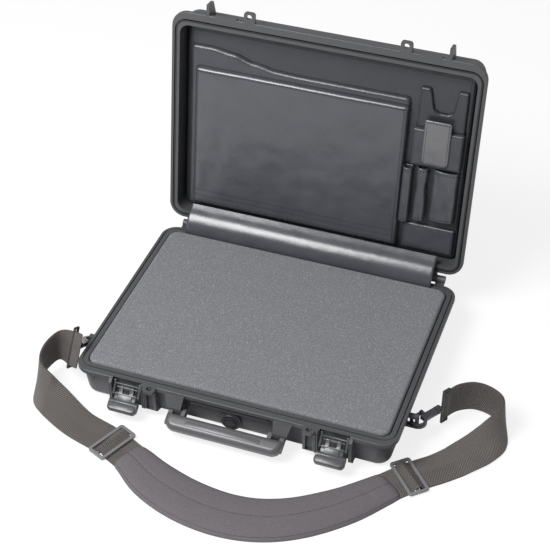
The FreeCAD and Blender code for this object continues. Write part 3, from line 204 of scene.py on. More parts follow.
def add_math(tree, operation, *values):
    """A maths node. Each value is a number or another node's output."""
    node = tree.nodes.new("ShaderNodeMath")
    node.operation = operation
    for socket, value in zip(node.inputs, values):
        if isinstance(value, float):
            socket.default_value = value
        else:
            link(tree, value, socket)
    return node.outputs[0]


def add_ramp(tree, fac, stops):
    ramp = tree.nodes.new("ShaderNodeValToRGB")
    elements = ramp.color_ramp.elements
    while len(elements) < len(stops):
        elements.new(0.5)
    for element, (place, colour) in zip(elements, stops):
        element.position = place
        element.color = (*colour, 1.0)
    link(tree, fac, ramp.inputs["Fac"])
    return ramp.outputs["Color"]


def add_bump(tree, bsdf, height, strength, distance):
    bump = tree.nodes.new("ShaderNodeBump")
    bump.inputs["Strength"].default_value = strength
    bump.inputs["Distance"].default_value = distance
    link(tree, height, bump.inputs["Height"])
    link(tree, bump.outputs["Normal"], bsdf.inputs["Normal"])
    return bump


def shade(colour, factor):
    return tuple(c * factor for c in colour)


def surface(name, colour, roughness, grain, bump=0.0, mottle=0.12, depth=0.0003, metallic=0.0, coat=0.0):
    """A mottled, grained surface. Grain is the number of grains per metre."""
    material, tree, bsdf = new_material(name)
    place = tree.nodes.new("ShaderNodeTexCoord").outputs["Object"]
    large = add_noise(tree, place, grain * 0.13, 4.0)
    fine = add_noise(tree, place, grain, 2.0)
    mix = add_math(tree, "MULTIPLY_ADD", large, 0.5, add_math(tree, "MULTIPLY", fine, 0.5))
    tone = add_ramp(tree, mix, ((0.3, shade(colour, 1 - mottle)), (0.7, shade(colour, 1 + mottle))))
    link(tree, tone, bsdf.inputs["Base Color"])
    bsdf.inputs["Roughness"].default_value = roughness
    bsdf.inputs["Metallic"].default_value = metallic
    bsdf.inputs["Coat Weight"].default_value = coat
    bsdf.inputs["Coat Roughness"].default_value = 0.25
    if bump:
        add_bump(tree, bsdf, fine, bump, depth)
    return material


shell_grey = surface("shell", (0.055, 0.056, 0.060), 0.44, 1100, bump=0.35, mottle=0.10)
seal_black = surface("seal", (0.012, 0.012, 0.013), 0.6, 500, mottle=0.05)
steel_grey = surface("steel", (0.075, 0.076, 0.080), 0.36, 900, mottle=0.08, metallic=0.5)
latch_grey = surface("latch", (0.060, 0.061, 0.067), 0.31, 900, bump=0.12, mottle=0.06)
handle_grey = surface("handle", (0.076, 0.076, 0.081), 0.34, 900, bump=0.15, mottle=0.08)
valve_black = surface("valve", (0.030, 0.030, 0.032), 0.42, 700, mottle=0.08)
board_dark = surface("board", (0.050, 0.047, 0.045), 0.65, 500, bump=0.2, mottle=0.15)
hook_black = surface("hook", (0.030, 0.031, 0.035), 0.30, 500, mottle=0.10, coat=0.2)
slider_grey = surface("slider", (0.150, 0.152, 0.160), 0.40, 500, bump=0.08, mottle=0.06)
thread_grey = surface("thread", (0.010, 0.010, 0.012), 0.6, 3000, mottle=0.25)
print(len(bpy.data.materials), "materials so far")

# %% [markdown]
# Leather needs two scales of relief: pores under a millimetre, and soft creases a few centimetres long.
# A Voronoi pattern gives the pores their rounded cells. Roughness varies too, so the highlight breaks up.

# %%
def leather(name, colour, roughness, pore_scale=1500.0, crease=0.5):
    material, tree, bsdf = new_material(name)
    place = tree.nodes.new("ShaderNodeTexCoord").outputs["Object"]
    pores = tree.nodes.new("ShaderNodeTexVoronoi")
    pores.inputs["Scale"].default_value = pore_scale
    link(tree, place, pores.inputs["Vector"])
    creases = add_noise(tree, place, 26.0, 5.0, 0.6)
    tone = add_ramp(tree, creases, ((0.32, shade(colour, 0.88)), (0.68, shade(colour, 1.12))))
    link(tree, tone, bsdf.inputs["Base Color"])
    rough = tree.nodes.new("ShaderNodeMapRange")
    rough.inputs["To Min"].default_value = roughness - 0.05
    rough.inputs["To Max"].default_value = roughness + 0.06
    link(tree, creases, rough.inputs["Value"])
    link(tree, rough.outputs["Result"], bsdf.inputs["Roughness"])
    first = add_bump(tree, bsdf, pores.outputs["Distance"], 0.2, 0.0002)
    second = add_bump(tree, bsdf, add_noise(tree, place, 90.0, 1.0), crease, 0.0012)
    link(tree, first.outputs["Normal"], second.inputs["Normal"])
    return material


leather_dark = leather("leather", (0.036, 0.039, 0.047), 0.33, crease=0.35)
# A darker copy of the same leather: its darkness is painted shade, for the lining and the tall pocket, which lie
# back in shade behind the pockets and tubes.
leather_painted_shade = leather("leather_painted_shade", (0.025, 0.028, 0.034), 0.34, crease=0.35)
leather_gloss = leather("leather_gloss", (0.043, 0.046, 0.055), 0.28, crease=0.15)
leather_flap = leather("leather_flap", (0.080, 0.081, 0.089), 0.22, crease=0.2)
for material, shine in ((leather_gloss, 0.7), (leather_flap, 0.9)):
    material.node_tree.nodes["Principled BSDF"].inputs["Specular IOR Level"].default_value = shine
print("leather materials:", leather_dark.name, leather_gloss.name, leather_flap.name)

# %% [markdown]
# Foam is matt and even, with lighter flecks where its cut cells catch the light. Knitted fabric is the
# same recipe with a finer, denser fleck.

# %%
def flecked(name, colour, fleck, scale, threshold, roughness=0.95, bump=0.4, depth=0.0006):
    material, tree, bsdf = new_material(name)
    place = tree.nodes.new("ShaderNodeTexCoord").outputs["Object"]
    fine = add_noise(tree, place, scale, 2.0, 0.7)
    middle = add_noise(tree, place, scale * 0.45, 3.0, 0.7)
    base = add_ramp(tree, middle, ((0.3, shade(colour, 0.80)), (0.7, shade(colour, 1.20))))
    flecks = add_ramp(tree, fine, ((threshold, (0.0, 0.0, 0.0)), (threshold + 0.12, (1.0, 1.0, 1.0))))
    mix = tree.nodes.new("ShaderNodeMix")
    mix.data_type = "RGBA"
    link(tree, flecks, mix.inputs["Factor"])
    link(tree, base, mix.inputs["A"])
    mix.inputs["B"].default_value = (*fleck, 1.0)
    link(tree, mix.outputs["Result"], bsdf.inputs["Base Color"])
    bsdf.inputs["Roughness"].default_value = roughness
    bsdf.inputs["Specular IOR Level"].default_value = 0.25
    add_bump(tree, bsdf, fine, bump, depth)
    return material


foam_grey = flecked("foam", (0.146, 0.149, 0.161), (0.38, 0.385, 0.40), 900.0, 0.58, bump=0.6, depth=0.0008)
pad_cloth = flecked("pad_cloth", (0.108, 0.099, 0.107), (0.165, 0.153, 0.163), 1500.0, 0.56, depth=0.0003)
print("flecked materials:", foam_grey.name, pad_cloth.name)

# %% [markdown]
# Webbing is woven in a herringbone: diagonal ribs that turn back at fixed places across the band. The
# pattern comes from the band's UVs, where u runs across it and v runs along it, both in metres.
# Folding u back and forth and adding v makes slanted ribs that meet in flat V shapes on the midline.
# FOLD, RIB and YARN are half the pitch of each pattern, and SLANT is how steeply the ribs climb.

# %%
FOLD, SLANT, RIB, YARN = 0.0233, 0.35, 0.0011, 0.0008


def herringbone(name, colour):
    material, tree, bsdf = new_material(name)
    uv = tree.nodes.new("ShaderNodeUVMap")
    uv.uv_map = "band"
    parts = tree.nodes.new("ShaderNodeSeparateXYZ")
    link(tree, uv.outputs["UV"], parts.inputs["Vector"])

    across, along = parts.outputs["X"], parts.outputs["Y"]
    fold = add_math(tree, "MULTIPLY", add_math(tree, "PINGPONG", across, FOLD), SLANT)
    along = add_math(tree, "ADD", along, fold)
    rib = add_math(tree, "MULTIPLY", add_math(tree, "PINGPONG", along, RIB), 1.0 / RIB)
    yarns = add_math(tree, "MULTIPLY", add_math(tree, "PINGPONG", across, YARN), 1.0 / YARN)
    height = add_math(tree, "ADD", add_math(tree, "MULTIPLY", rib, 0.75),
                      add_math(tree, "MULTIPLY", yarns, 0.25))
    tone = add_ramp(tree, height, ((0.15, shade(colour, 0.40)), (0.75, shade(colour, 1.60))))
    link(tree, tone, bsdf.inputs["Base Color"])
    bsdf.inputs["Roughness"].default_value = 0.6
    add_bump(tree, bsdf, height, 0.8, 0.0010)
    return material


webbing_cloth = herringbone("webbing", (0.084, 0.075, 0.071))
print("woven material:", webbing_cloth.name)

# %% [markdown]
# ## The camera, the light and the floor
#
# The photograph looks down at the case from its front right corner, from about two metres away with a
# long lens. Its background is plain white. A white floor under a white sky comes close, and both look
# brighter to the camera than they light the case, so that the shadows on the floor stay faint. One large
# lamp above the front left gives the highlights on the leather and the soft shadows.

# %%
camera_data = bpy.data.cameras.new("camera")
camera = add_object("camera", camera_data)
camera.location = (0.4910, -1.3701, 1.3623)
target = Vector((-0.05085, 0.15814, 0.0))
camera.rotation_euler = (target - camera.location).to_track_quat("-Z", "Y").to_euler()
camera_data.sensor_width = 36.0
camera_data.lens = 96.81
bpy.context.scene.camera = camera

floor_white, floor_tree, floor_bsdf = new_material("floor")
floor_bsdf.inputs["Base Color"].default_value = (0.9, 0.9, 0.9, 1.0)
floor_bsdf.inputs["Roughness"].default_value = 0.9
rays = floor_tree.nodes.new("ShaderNodeLightPath")
part = add_math(floor_tree, "MULTIPLY", rays.outputs["Is Camera Ray"], 0.8)
white = floor_tree.nodes.new("ShaderNodeEmission")
white.inputs["Strength"].default_value = 1.0
mix = floor_tree.nodes.new("ShaderNodeMixShader")
link(floor_tree, part, mix.inputs[0])
link(floor_tree, floor_bsdf.outputs[0], mix.inputs[1])
link(floor_tree, white.outputs[0], mix.inputs[2])
link(floor_tree, mix.outputs[0], floor_tree.nodes["Material Output"].inputs["Surface"])
floor = add_mesh("floor", [(-6, -6, 0), (6, -6, 0), (6, 6, 0), (-6, 6, 0)], [(0, 1, 2, 3)], floor_white)

world = bpy.data.worlds.new("world")
world.use_nodes = True
world.node_tree.nodes["Background"].inputs["Color"].default_value = (1, 1, 1, 1)
seen = world.node_tree.nodes.new("ShaderNodeLightPath")
strength = add_math(world.node_tree, "MULTIPLY_ADD", seen.outputs["Is Camera Ray"], 0.5, 0.5)
link(world.node_tree, strength, world.node_tree.nodes["Background"].inputs["Strength"])
bpy.context.scene.world = world
lamp_data = bpy.data.lights.new("key", "AREA")
lamp_data.size = 0.9
lamp_data.energy = 48
lamp = add_object("key", lamp_data)
lamp.location = (-0.7, -0.9, 1.7)
lamp.rotation_euler = (Vector((0, 0, 0.1)) - lamp.location).to_track_quat("-Z", "Y").to_euler()
bpy.context.scene.view_settings.view_transform = "Standard"
print("camera at", tuple(camera.location))

# %% [markdown]
# ## The hard parts
#
# The two shells keep the CAD's own shape, as nothing softens them: they only need the moulded plastic's
# fine texture. Small rigid parts look too sharp straight from CAD, because real mouldings have rounded
# edges that catch light. `eased_copy` joins the CAD mesh's loose corners, rounds every sharp edge a
# little, and stands in for the CAD piece on the same body.

# %%
finishes = {
    "base_shell": shell_grey, "lid_shell": shell_grey, "base_foam": foam_grey, "base_foam_pad": foam_grey,
    "lid_seal": seal_black, "hinge_pins": steel_grey, "latch_pins": steel_grey, "handle_pins": steel_grey,
    "organizer_screws": steel_grey, "left_bail_pin": steel_grey, "right_bail_pin": steel_grey,
    "handle_core": steel_grey, "purge_valve_nut": valve_black, "purge_valve_body": valve_black,
    "purge_valve_knob": valve_black, "organizer_board": board_dark,
}
for name, material in finishes.items():
    nodes[name].data.materials.clear()
    nodes[name].data.materials.append(material)


def eased_copy(node, body, material, width, segments=2, sharp=32.0):
    """A copy of a CAD piece with its sharp edges rounded by a width in mm."""
    mesh = bmesh.new()
    mesh.from_mesh(nodes[node].data)
    bmesh.ops.remove_doubles(mesh, verts=mesh.verts, dist=2e-6)
    bmesh.ops.dissolve_limit(mesh, angle_limit=math.radians(1.0), verts=mesh.verts, edges=mesh.edges)
    edges = [e for e in mesh.edges if len(e.link_faces) == 2
             and e.calc_face_angle(0.0) > math.radians(sharp)]
    bmesh.ops.bevel(mesh, geom=edges, offset=width * MM, segments=segments, profile=0.5,
                    affect="EDGES", clamp_overlap=True)
    copy = bpy.data.meshes.new(node + "_eased")
    mesh.to_mesh(copy)
    mesh.free()
    copy.materials.clear()
    copy.materials.append(material)
    copy.polygons.foreach_set("use_smooth", [True] * len(copy.polygons))
    copy.set_sharp_from_angle(angle=math.radians(40))
    obj = add_object(node + "_eased", copy)
    dress(obj, body, node)
    return obj


for side in ("left", "right"):
    eased_copy(side + "_latch_lever", side + "_lever", latch_grey, 0.7)
    eased_copy(side + "_latch_bail", side + "_bail", latch_grey, 0.4)
    eased_copy(side + "_hook_body", "root", hook_black, 0.9)
    eased_copy(side + "_hook_gate", side + "_gate", hook_black, 0.4)
    eased_copy(side + "_hook_swivel", "root", hook_black, 0.6)
    eased_copy(side + "_slider", "root", slider_grey, 0.9, 3)
eased_copy("handle_grip", "handle", handle_grey, 0.6)
print("finished", len(finishes), "CAD pieces and eased 13")

# %% [markdown]
# ## The foam
#
# The block of foam is soft, so it is modelled to its full height, a few millimetres above the rim, with
# its cut edges rounded over. Each ring of points follows a rounded rectangle. The rings climb the side,
# turn over the edge and then shrink towards the middle of the top.

# %%
def rounded_ring(half_x, low_y, high_y, radius, z, per_corner=8, per_side=12):
    """Points round a rounded rectangle, in mm, anticlockwise from the front right corner."""
    radius = max(min(radius, half_x - 0.1, (high_y - low_y) / 2 - 0.1), 0.1)
    centres = ((half_x - radius, low_y + radius, -90), (half_x - radius, high_y - radius, 0),
               (radius - half_x, high_y - radius, 90), (radius - half_x, low_y + radius, 180))
    ring = []
    for index, (cx, cy, start) in enumerate(centres):
        for k in range(per_corner + 1):
            angle = math.radians(start + 90 * k / per_corner)
            ring.append(Vector((cx + radius * math.cos(angle), cy + radius * math.sin(angle), z)))
        nx, ny, nstart = centres[(index + 1) % 4]
        angle = math.radians(nstart)
        goal = Vector((nx + radius * math.cos(angle), ny + radius * math.sin(angle), z))
        last = ring[-1]
        ring += [last.lerp(goal, k / per_side) for k in range(1, per_side)]
    return ring


HALF_X, FRONT, BACK, FLOOR, TOP, EDGE = 202.0, -142.3, 144.8, 7.8, 54.0, 4.2


def foam_block():
    levels = [(6.0, FLOOR), (1.0, 8.6), (0.4, 20.0), (0.0, 40.0)]
    levels += [(EDGE * (1 - math.cos(a)), TOP - EDGE + EDGE * math.sin(a))
               for a in [math.radians(10 * k) for k in range(10)]]
    levels += [(inset, TOP) for inset in (9, 18, 34, 60, 95, 140)]
    points = []
    for inset, z in levels:
        for p in rounded_ring(HALF_X - inset, FRONT + inset, BACK - inset, 12.0 + 0.4 * inset, z):
            swell = 0.35 * bumps(p.x, p.y, 60.0, 3.0) if z > TOP - 0.1 else 0.0
            points.append((p.x * MM, p.y * MM, (p.z + swell) * MM))
    per_ring = len(points) // len(levels)
    faces = strip_faces(len(levels), per_ring, wrap=True)
    faces.append(tuple(reversed(range(per_ring))))
    faces.append(tuple(range(len(points) - per_ring, len(points))))
    return add_mesh("foam_block", points, faces, foam_grey)


foam = foam_block()
dress(foam, "root", "base_foam")
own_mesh(foam)
print("foam points:", len(foam.data.vertices))

# %% [markdown]
# ## Leather panels for the organizer
#
# Each pocket is a flat panel of leather over a thin stiffener. A grid of points covers it, closer
# together near its edges. The thickness rises from a thin cut edge to the full padding over a few
# millimetres, like a rounded pillow, and smooth noise adds the soft creases. `place` tells where the
# panel's front is, so that stitches can be laid on it afterwards.

# %%
class Panel:
    """A padded panel in the lid, between two sides and two edges that may be curves."""

    def __init__(self, left, right, bottom, top, back, front, rounding=3.0, edge=1.2, corner=3.0,
                 crown=0.0, creases=0.0, seed=1.0, across=36, along=30):
        self.left, self.right = left, right
        self.bottom = bottom if callable(bottom) else (lambda x: bottom)
        self.top = top if callable(top) else (lambda x: top)
        self.back, self.front = back, front
        self.rounding, self.edge, self.corner = rounding, edge, corner
        self.crown, self.creases, self.seed = crown, creases, seed
        self.across, self.along = across, along

    def height(self, x, up):
        """How far out of the lid the panel's front is."""
        low, high = self.bottom(x), self.top(x)
        near = max(min(x - self.left, self.right - x, up - low, high - up), 0.0)
        t = min(near / self.rounding, 1.0)
        rise = math.sqrt(max(1.0 - (1.0 - t) ** 2, 0.0))
        out = self.back + self.edge + (self.front - self.back - self.edge) * rise
        u = (x - self.left) / (self.right - self.left)
        v = (up - low) / max(high - low, 1.0)
        u, v = min(max(u, 0.0), 1.0), min(max(v, 0.0), 1.0)
        out += self.crown * math.sin(math.pi * u) * math.sin(math.pi * v)
        soft = min(near / 12.0, 1.0)
        out += self.creases * soft * (bumps(x, up, 34.0, self.seed) + 0.5 * bumps(x, up, 15.0, self.seed + 1))
        return out

    def place(self, x, up, lift=0.0):
        return open_lid(x, up, self.height(x, up) + lift)

    def grid(self):
        rows = []
        for v in spaced(self.along):
            row = []
            for u in spaced(self.across):
                x = self.left + (self.right - self.left) * u
                low, high = self.bottom(x), self.top(x)
                up = low + (high - low) * v
                near, radius = up - low, self.corner
                if high - up < near:
                    near, radius = high - up, min(self.corner, 3.0)
                if near < radius:
                    inset = radius - math.sqrt(max(radius ** 2 - (radius - near) ** 2, 0.0))
                    x = self.left + inset + (self.right - self.left - 2 * inset) * u
                row.append((x, up))
            rows.append(row)
        return rows

    def build(self, name, material):
        rows = self.grid()
        front = [self.place(x, up) for row in rows for x, up in row]
        back = [open_lid(x, up, self.back) for row in rows for x, up in row]
        return add_mesh(name, front + back, two_sided(self.along, self.across), material)

    def line(self, places, lift=0.15):
        """A run of stitches through places (x, up) on the front."""
        return [self.place(x, up, lift) for x, up in places]

    def border(self, inset, sides="lrbt", shift=0.0):
        """Stitch lines that follow the panel's sides at an inset."""
        lines = []
        left, right = self.left + inset, self.right - inset
        xs = [left + (right - left) * k / 40 for k in range(41)]
        ups = [k / 24 for k in range(25)]
        if "b" in sides:
            lines.append(self.line([(x, self.bottom(x) + inset) for x in xs]))
        if "t" in sides:
            lines.append(self.line([(x, self.top(x) - inset) for x in xs]))
        for side, x in (("l", left), ("r", right)):
            if side in sides:
                low, high = self.bottom(x) + inset + shift, self.top(x) - inset
                lines.append(self.line([(x, low + (high - low) * k) for k in ups]))
        return lines


def curve_through(places):
    """A smooth function of x through the places (x, value)."""
    def value(x):
        if x <= places[0][0]:
            return places[0][1]
        for (a, p), (b, q) in zip(places, places[1:]):
            if x <= b:
                t = (x - a) / (b - a)
                return p + (q - p) * t * t * (3 - 2 * t)
        return places[-1][1]
    return value



# %% [markdown]
# The stiff board is covered in leather too, which hides its screws. On it, the large pocket has a rear
# panel whose top edge sweeps down from left to right, and a padded front
# panel that stops lower, so the pocket's mouth shows between them. Both get a line of stitches inside
# their border, as the leather is sewn to its stiffener there.

# %%
seams = {"lid": [], "phone_flap": []}
lid_panels = []
lining = Panel(-198.3, 198.3, 14.2, 287.8, -22.0, -19.9, rounding=1.0, corner=8.0, across=50, along=40)
# The lining gets the darker leather, whose darkness is painted shade for the gaps between the pockets, the tubes
# and the lid's walls.
lid_panels.append((lining.build("lid_lining", leather_painted_shade), "organizer_board"))
seams["lid"] += [lining.line([(x, 281.0) for x in range(-190, 192, 6)], 0.1),
                 lining.line([(192.0, up) for up in range(20, 282, 6)], 0.1),
                 lining.line([(-192.0, up) for up in range(262, 282, 4)], 0.1)]

sweep = curve_through([(-193.0, 262.0), (-165.0, 262.0), (-135.0, 258.0), (-103.0, 249.5),
                       (-70.0, 244.0), (-40.0, 243.0), (115.5, 243.0)])
rear = Panel(-193.0, 115.5, 16.0, sweep, -19.7, -14.4, rounding=2.5, creases=0.35, seed=1.0,
             across=60, along=40)
front = Panel(-184.0, 115.5, 22.0, 233.0, -13.9, -7.4, rounding=7.0, corner=5.0, crown=0.9, creases=0.8,
              seed=2.0, across=64, along=52)
lid_panels.append((rear.build("rear_pocket", leather_dark), "organizer_rear_pocket"))
lid_panels.append((front.build("front_pocket", leather_gloss), "organizer_front_pocket"))
seams["lid"] += rear.border(3.5, "tl") + front.border(5.0, "lrb")
seams["lid"].append(front.line([(x, 228.0) for x in range(-179, 112, 6)]))
for up in (30.0, 38.0, 46.0):
    seams["lid"].append(front.line([(x, up) for x in range(-178, 111, 6)]))
print("lining and large pocket:", [len(o.data.vertices) for o, _ in lid_panels], "points")

# %% [markdown]
# The tall pocket on the right has a U-shaped notch in its top edge. The flat pocket for a phone lies in
# front of it, under its own flap. The flap is glossier, with rounded lower corners, and swings on a
# seam at its top, so it rides on its own body.

# %%
notch = curve_through([(127.0, 262.0), (139.0, 262.0), (149.0, 231.5), (155.0, 229.0), (167.0, 229.0),
                       (173.0, 231.5), (180.0, 264.0), (192.0, 264.0)])
tall = Panel(127.0, 192.0, 152.0, notch, -19.7, -15.2, rounding=2.5, corner=2.0, creases=0.25, seed=4.0,
             across=44, along=30)
phone = Panel(124.0, 194.0, 150.0, 206.0, -14.7, -8.3, rounding=5.0, corner=4.0, crown=0.2, creases=0.4,
              seed=5.0)
flap = Panel(140.0, 176.0, 155.5, 221.0, -7.7, -5.4, rounding=4.0, edge=1.0, corner=10.0, crown=0.7,
             creases=0.2, seed=6.0, across=28, along=36)
lower = Panel(123.0, 195.0, 20.0, 60.0, -19.7, -15.2, rounding=4.0, crown=0.2, creases=0.35, seed=7.0)
# The tall pocket gets the same darker leather, painted shade for where it lies back behind the phone pocket and
# tubes.
lid_panels.append((tall.build("tall_pocket", leather_painted_shade), "organizer_notch_pocket"))
lid_panels.append((phone.build("phone_pocket", leather_dark), "organizer_phone_pocket"))
lid_panels.append((lower.build("lower_panel", leather_gloss), "organizer_lower_panel"))
flap_object = flap.build("phone_flap_leather", leather_flap)
dress(flap_object, "phone_flap", "organizer_phone_flap")
seams["lid"] += tall.border(3.0, "lr") + phone.border(3.5, "lrbt") + lower.border(3.5, "lrt")
seams["lid"].append(tall.line([(127 + 65 * k / 60, notch(127 + 65 * k / 60) - 3.2) for k in range(2, 59)]))
seams["phone_flap"] += flap.border(3.0, "lrb", 3.0) + flap.border(3.0, "t")
for piece, node in lid_panels:
    dress(piece, "lid", node)
print("right side:", len(lid_panels) - 3, "panels and a flap")

# %% [markdown]
# Three leather tubes hold pens and cables. Each one is a tube open at both ends, so it needs an inside
# and an outside wall. A cross-section goes round like a letter D, flat against the board and full in
# front. The rows down the tube change its width a little: one tube is pinched in the middle, the wide
# one has soft folds.

# %%
def tube_section(half, back, front, inset, per=40):
    """A D-shaped ring of (x, out), its flat side at the back, drawn in by an inset."""
    ring = []
    for k in range(per):
        angle = 2 * math.pi * k / per
        c, s = math.cos(angle), math.sin(angle)
        power = 0.95 if s > 0 else 0.16
        x = (half - inset) * math.copysign(abs(c) ** power, c)
        middle = (back + front) / 2
        reach = (front - back) / 2 - inset
        out = middle + reach * math.copysign(abs(s) ** (0.95 if s > 0 else 0.16), s)
        ring.append((x, out))
    return ring


def leather_tube(name, place, wide, bottom, top, pinch, folds, seed):
    rows = 34
    points = []
    shapes = [(0.0, [bottom + (top - bottom) * v for v in spaced(rows)]),
              (1.6, [top - (top - bottom) * v for v in spaced(rows)])]
    for inset, ups in shapes:
        for up in ups:
            t = (up - bottom) / (top - bottom)
            narrow = 1.0 - pinch * math.exp(-((t - 0.62) / 0.16) ** 2)
            for x, out in tube_section(wide / 2 * narrow, -19.4, -5.9, inset):
                fold = folds * bumps(x * 2.2, up * 0.35, 9.0, seed) * math.sin(math.pi * t) ** 0.5
                fold += 0.25 * bumps(x, up, 14.0, seed + 2)
                if out > -15.0 and inset == 0.0 or out > -15.0 and folds > 0.5:
                    out = min(out + fold, -5.7)
                points.append(open_lid(place + x, up, out))
    faces = strip_faces(2 * rows, 40, wrap=True)
    last = (2 * rows - 1) * 40
    faces += [(last + c, last + (c + 1) % 40, (c + 1) % 40, c) for c in range(40)]
    tube = add_mesh(name, points, faces, leather_gloss)
    return tube


def tube_line(place, wide, up, lift=0.35):
    """A stitch line across a tube's front."""
    ring = [(x, out) for x, out in tube_section(wide / 2, -19.4, -5.9, 0.0, 48) if out > -13.0]
    ring.sort()
    return [open_lid(place + x, up, out + lift) for x, out in ring]


tubes = []
for index, row in enumerate(((122.5, 13.4, 64.0, 146.0, 0.0, 0.2), (143.0, 15.6, 70.0, 149.0, 0.20, 0.3),
                             (175.0, 34.0, 74.0, 149.6, 0.0, 1.3))):
    tubes.append(leather_tube(f"leather_tube_{index + 1}", *row, 10.0 + index))
    place, wide, bottom, top = row[:4]
    seams["lid"] += [tube_line(place, wide, top - 4.0), tube_line(place, wide, bottom + 4.0)]
for tube in tubes:
    dress(tube, "lid")
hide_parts("organizer_tool_loops")
print("tubes:", [len(t.data.vertices) for t in tubes], "points")

# %% [markdown]
# ## The cover over the hinge
#
# A strip of leather hides the hinge. It is sewn under the lid's lining, rolls forward and down, and is
# tucked between the foam and the base's wall. Its profile is a smooth curve through five places; the
# leather is the same thickness everywhere, so each point of the back is moved in along the curve's
# normal.

# %%
def hinge_cover():
    profile = smooth_path([Vector(p) for p in (
        (0, 175.5, 84.0), (0, 168.5, 79.5), (0, 159.5, 74.5), (0, 152.2, 67.0), (0, 148.3, 58.5),
        (0, 146.2, 50.6))], 7)
    columns = spaced(90, -182.0, 178.0, 0.3)
    rows = []
    for index, p in enumerate(profile):
        before, after = profile[max(index - 1, 0)], profile[min(index + 1, len(profile) - 1)]
        along = (after - before).normalized()
        normal = Vector((0, along.z, -along.y))
        t = index / (len(profile) - 1)
        for x in columns:
            soft = 0.6 * bumps(x * 0.25, t * 40, 30.0, 21.0) + 0.12 * bumps(x * 0.5, t * 60, 11.0, 22.0)
            soft *= math.sin(math.pi * t)
            rows.append((Vector((x, p.y, p.z)) + normal * soft, normal))
    outside = [p * MM for p, _ in rows]
    inside = [(p - n * 1.5) * MM for p, n in rows]
    faces = two_sided(len(profile), len(columns), flip=True)
    length = sum((b - a).length for a, b in zip(profile, profile[1:]))
    return add_mesh("hinge_cover_leather", outside + inside, faces, leather_gloss), length


cover, cover_length = hinge_cover()
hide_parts("hinge_cover")
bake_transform(cover)
print("hinge cover's profile is", round(cover_length, 1), "mm long")

# %% [markdown]
# ## Stitches
#
# One Geometry Nodes tree sews every seam. It walks along each seam's curve at a fixed pitch and puts a
# small thread-shaped ball there, stretched along the curve. The seams of each body share one object,
# as they are the same thread.

# %%
def stitch_tree():
    tree = bpy.data.node_groups.new("stitches", "GeometryNodeTree")
    face = tree.interface
    face.new_socket("Geometry", in_out="INPUT", socket_type="NodeSocketGeometry")
    sockets = {}
    for name, kind in (("Pitch", "NodeSocketFloat"), ("Length", "NodeSocketFloat"),
                       ("Radius", "NodeSocketFloat"), ("Thread", "NodeSocketMaterial")):
        sockets[name] = face.new_socket(name, in_out="INPUT", socket_type=kind).identifier
    face.new_socket("Geometry", in_out="OUTPUT", socket_type="NodeSocketGeometry")
    add = tree.nodes.new
    source, result = add("NodeGroupInput"), add("NodeGroupOutput")
    walk, ball = add("GeometryNodeCurveToPoints"), add("GeometryNodeMeshIcoSphere")
    walk.mode = "LENGTH"
    ball.inputs["Radius"].default_value = 1.0
    ball.inputs["Subdivisions"].default_value = 1
    size, shape = add("ShaderNodeCombineXYZ"), add("GeometryNodeTransform")
    turn, put = add("FunctionNodeAlignRotationToVector"), add("GeometryNodeInstanceOnPoints")
    turn.axis = "X"
    real, soft = add("GeometryNodeRealizeInstances"), add("GeometryNodeSetShadeSmooth")
    paint = add("GeometryNodeSetMaterial")
    link(tree, add_math(tree, "MULTIPLY", source.outputs["Length"], 0.5), size.inputs["X"])
    for node, output, goal, socket in (
            (source, "Geometry", walk, "Curve"), (source, "Pitch", walk, "Length"),
            (source, "Radius", size, "Y"), (source, "Radius", size, "Z"), (ball, "Mesh", shape, "Geometry"),
            (size, "Vector", shape, "Scale"), (walk, "Tangent", turn, "Vector"),
            (walk, "Points", put, "Points"), (shape, "Geometry", put, "Instance"),
            (turn, "Rotation", put, "Rotation"), (put, "Instances", real, "Geometry"),
            (real, "Geometry", soft, "Geometry"), (soft, "Geometry", paint, "Geometry"),
            (source, "Thread", paint, "Material"), (paint, "Geometry", result, "Geometry")):
        link(tree, node.outputs[output], goal.inputs[socket])
    return tree, sockets


stitches, stitch_sockets = stitch_tree()


def sew(name, lines, body, pitch=4.0, length=2.6, radius=0.55):
    """Stitches along lines of places, as one mesh on a body. Sizes in mm."""
    curve = bpy.data.curves.new(name + "_path", "CURVE")
    curve.dimensions = "3D"
    for line in lines:
        spline = curve.splines.new("POLY")
        spline.points.add(len(line) - 1)
        for point, place in zip(spline.points, line):
            point.co = (*place, 1.0)
    path = add_object(name + "_path", curve)
    modifier = path.modifiers.new("stitches", "NODES")
    modifier.node_group = stitches
    for key, value in (("Pitch", pitch * MM), ("Length", length * MM), ("Radius", radius * MM),
                       ("Thread", thread_grey)):
        modifier[stitch_sockets[key]] = value
    bpy.context.view_layer.update()
    evaluated = path.evaluated_get(bpy.context.evaluated_depsgraph_get())
    mesh = bpy.data.meshes.new_from_object(evaluated)
    obj = add_object(name, mesh)
    bpy.data.objects.remove(path)
    if not mesh.materials:
        mesh.materials.append(thread_grey)
    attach(obj, body)
    return obj


for body, lines in seams.items():
    sewn = sew("stitches_" + body, lines, body)
    print(sewn.name, len(lines), "seams,", len(sewn.data.polygons), "faces")

# %% [markdown]
# ## The webbing
#
# Each side's webbing is one long band. It is sewn to its slider, runs to the hook, turns round the
# hook's loop and comes back on itself, so two layers lie together as far as the slider. There it
# passes under the slider's end bars and over its middle bar, and runs on into the shoulder pad. The
# band stands on edge at the hook and twists until it lies flat on the floor. At each place along the
# way, `across` says which way the band's width points.

# %%
THICK, WIDE = 1.5, 46.5
HUMP, HUMP_REACH = 7.6, 10.0  # how high and how far to each side the band rises over a slider's middle bar


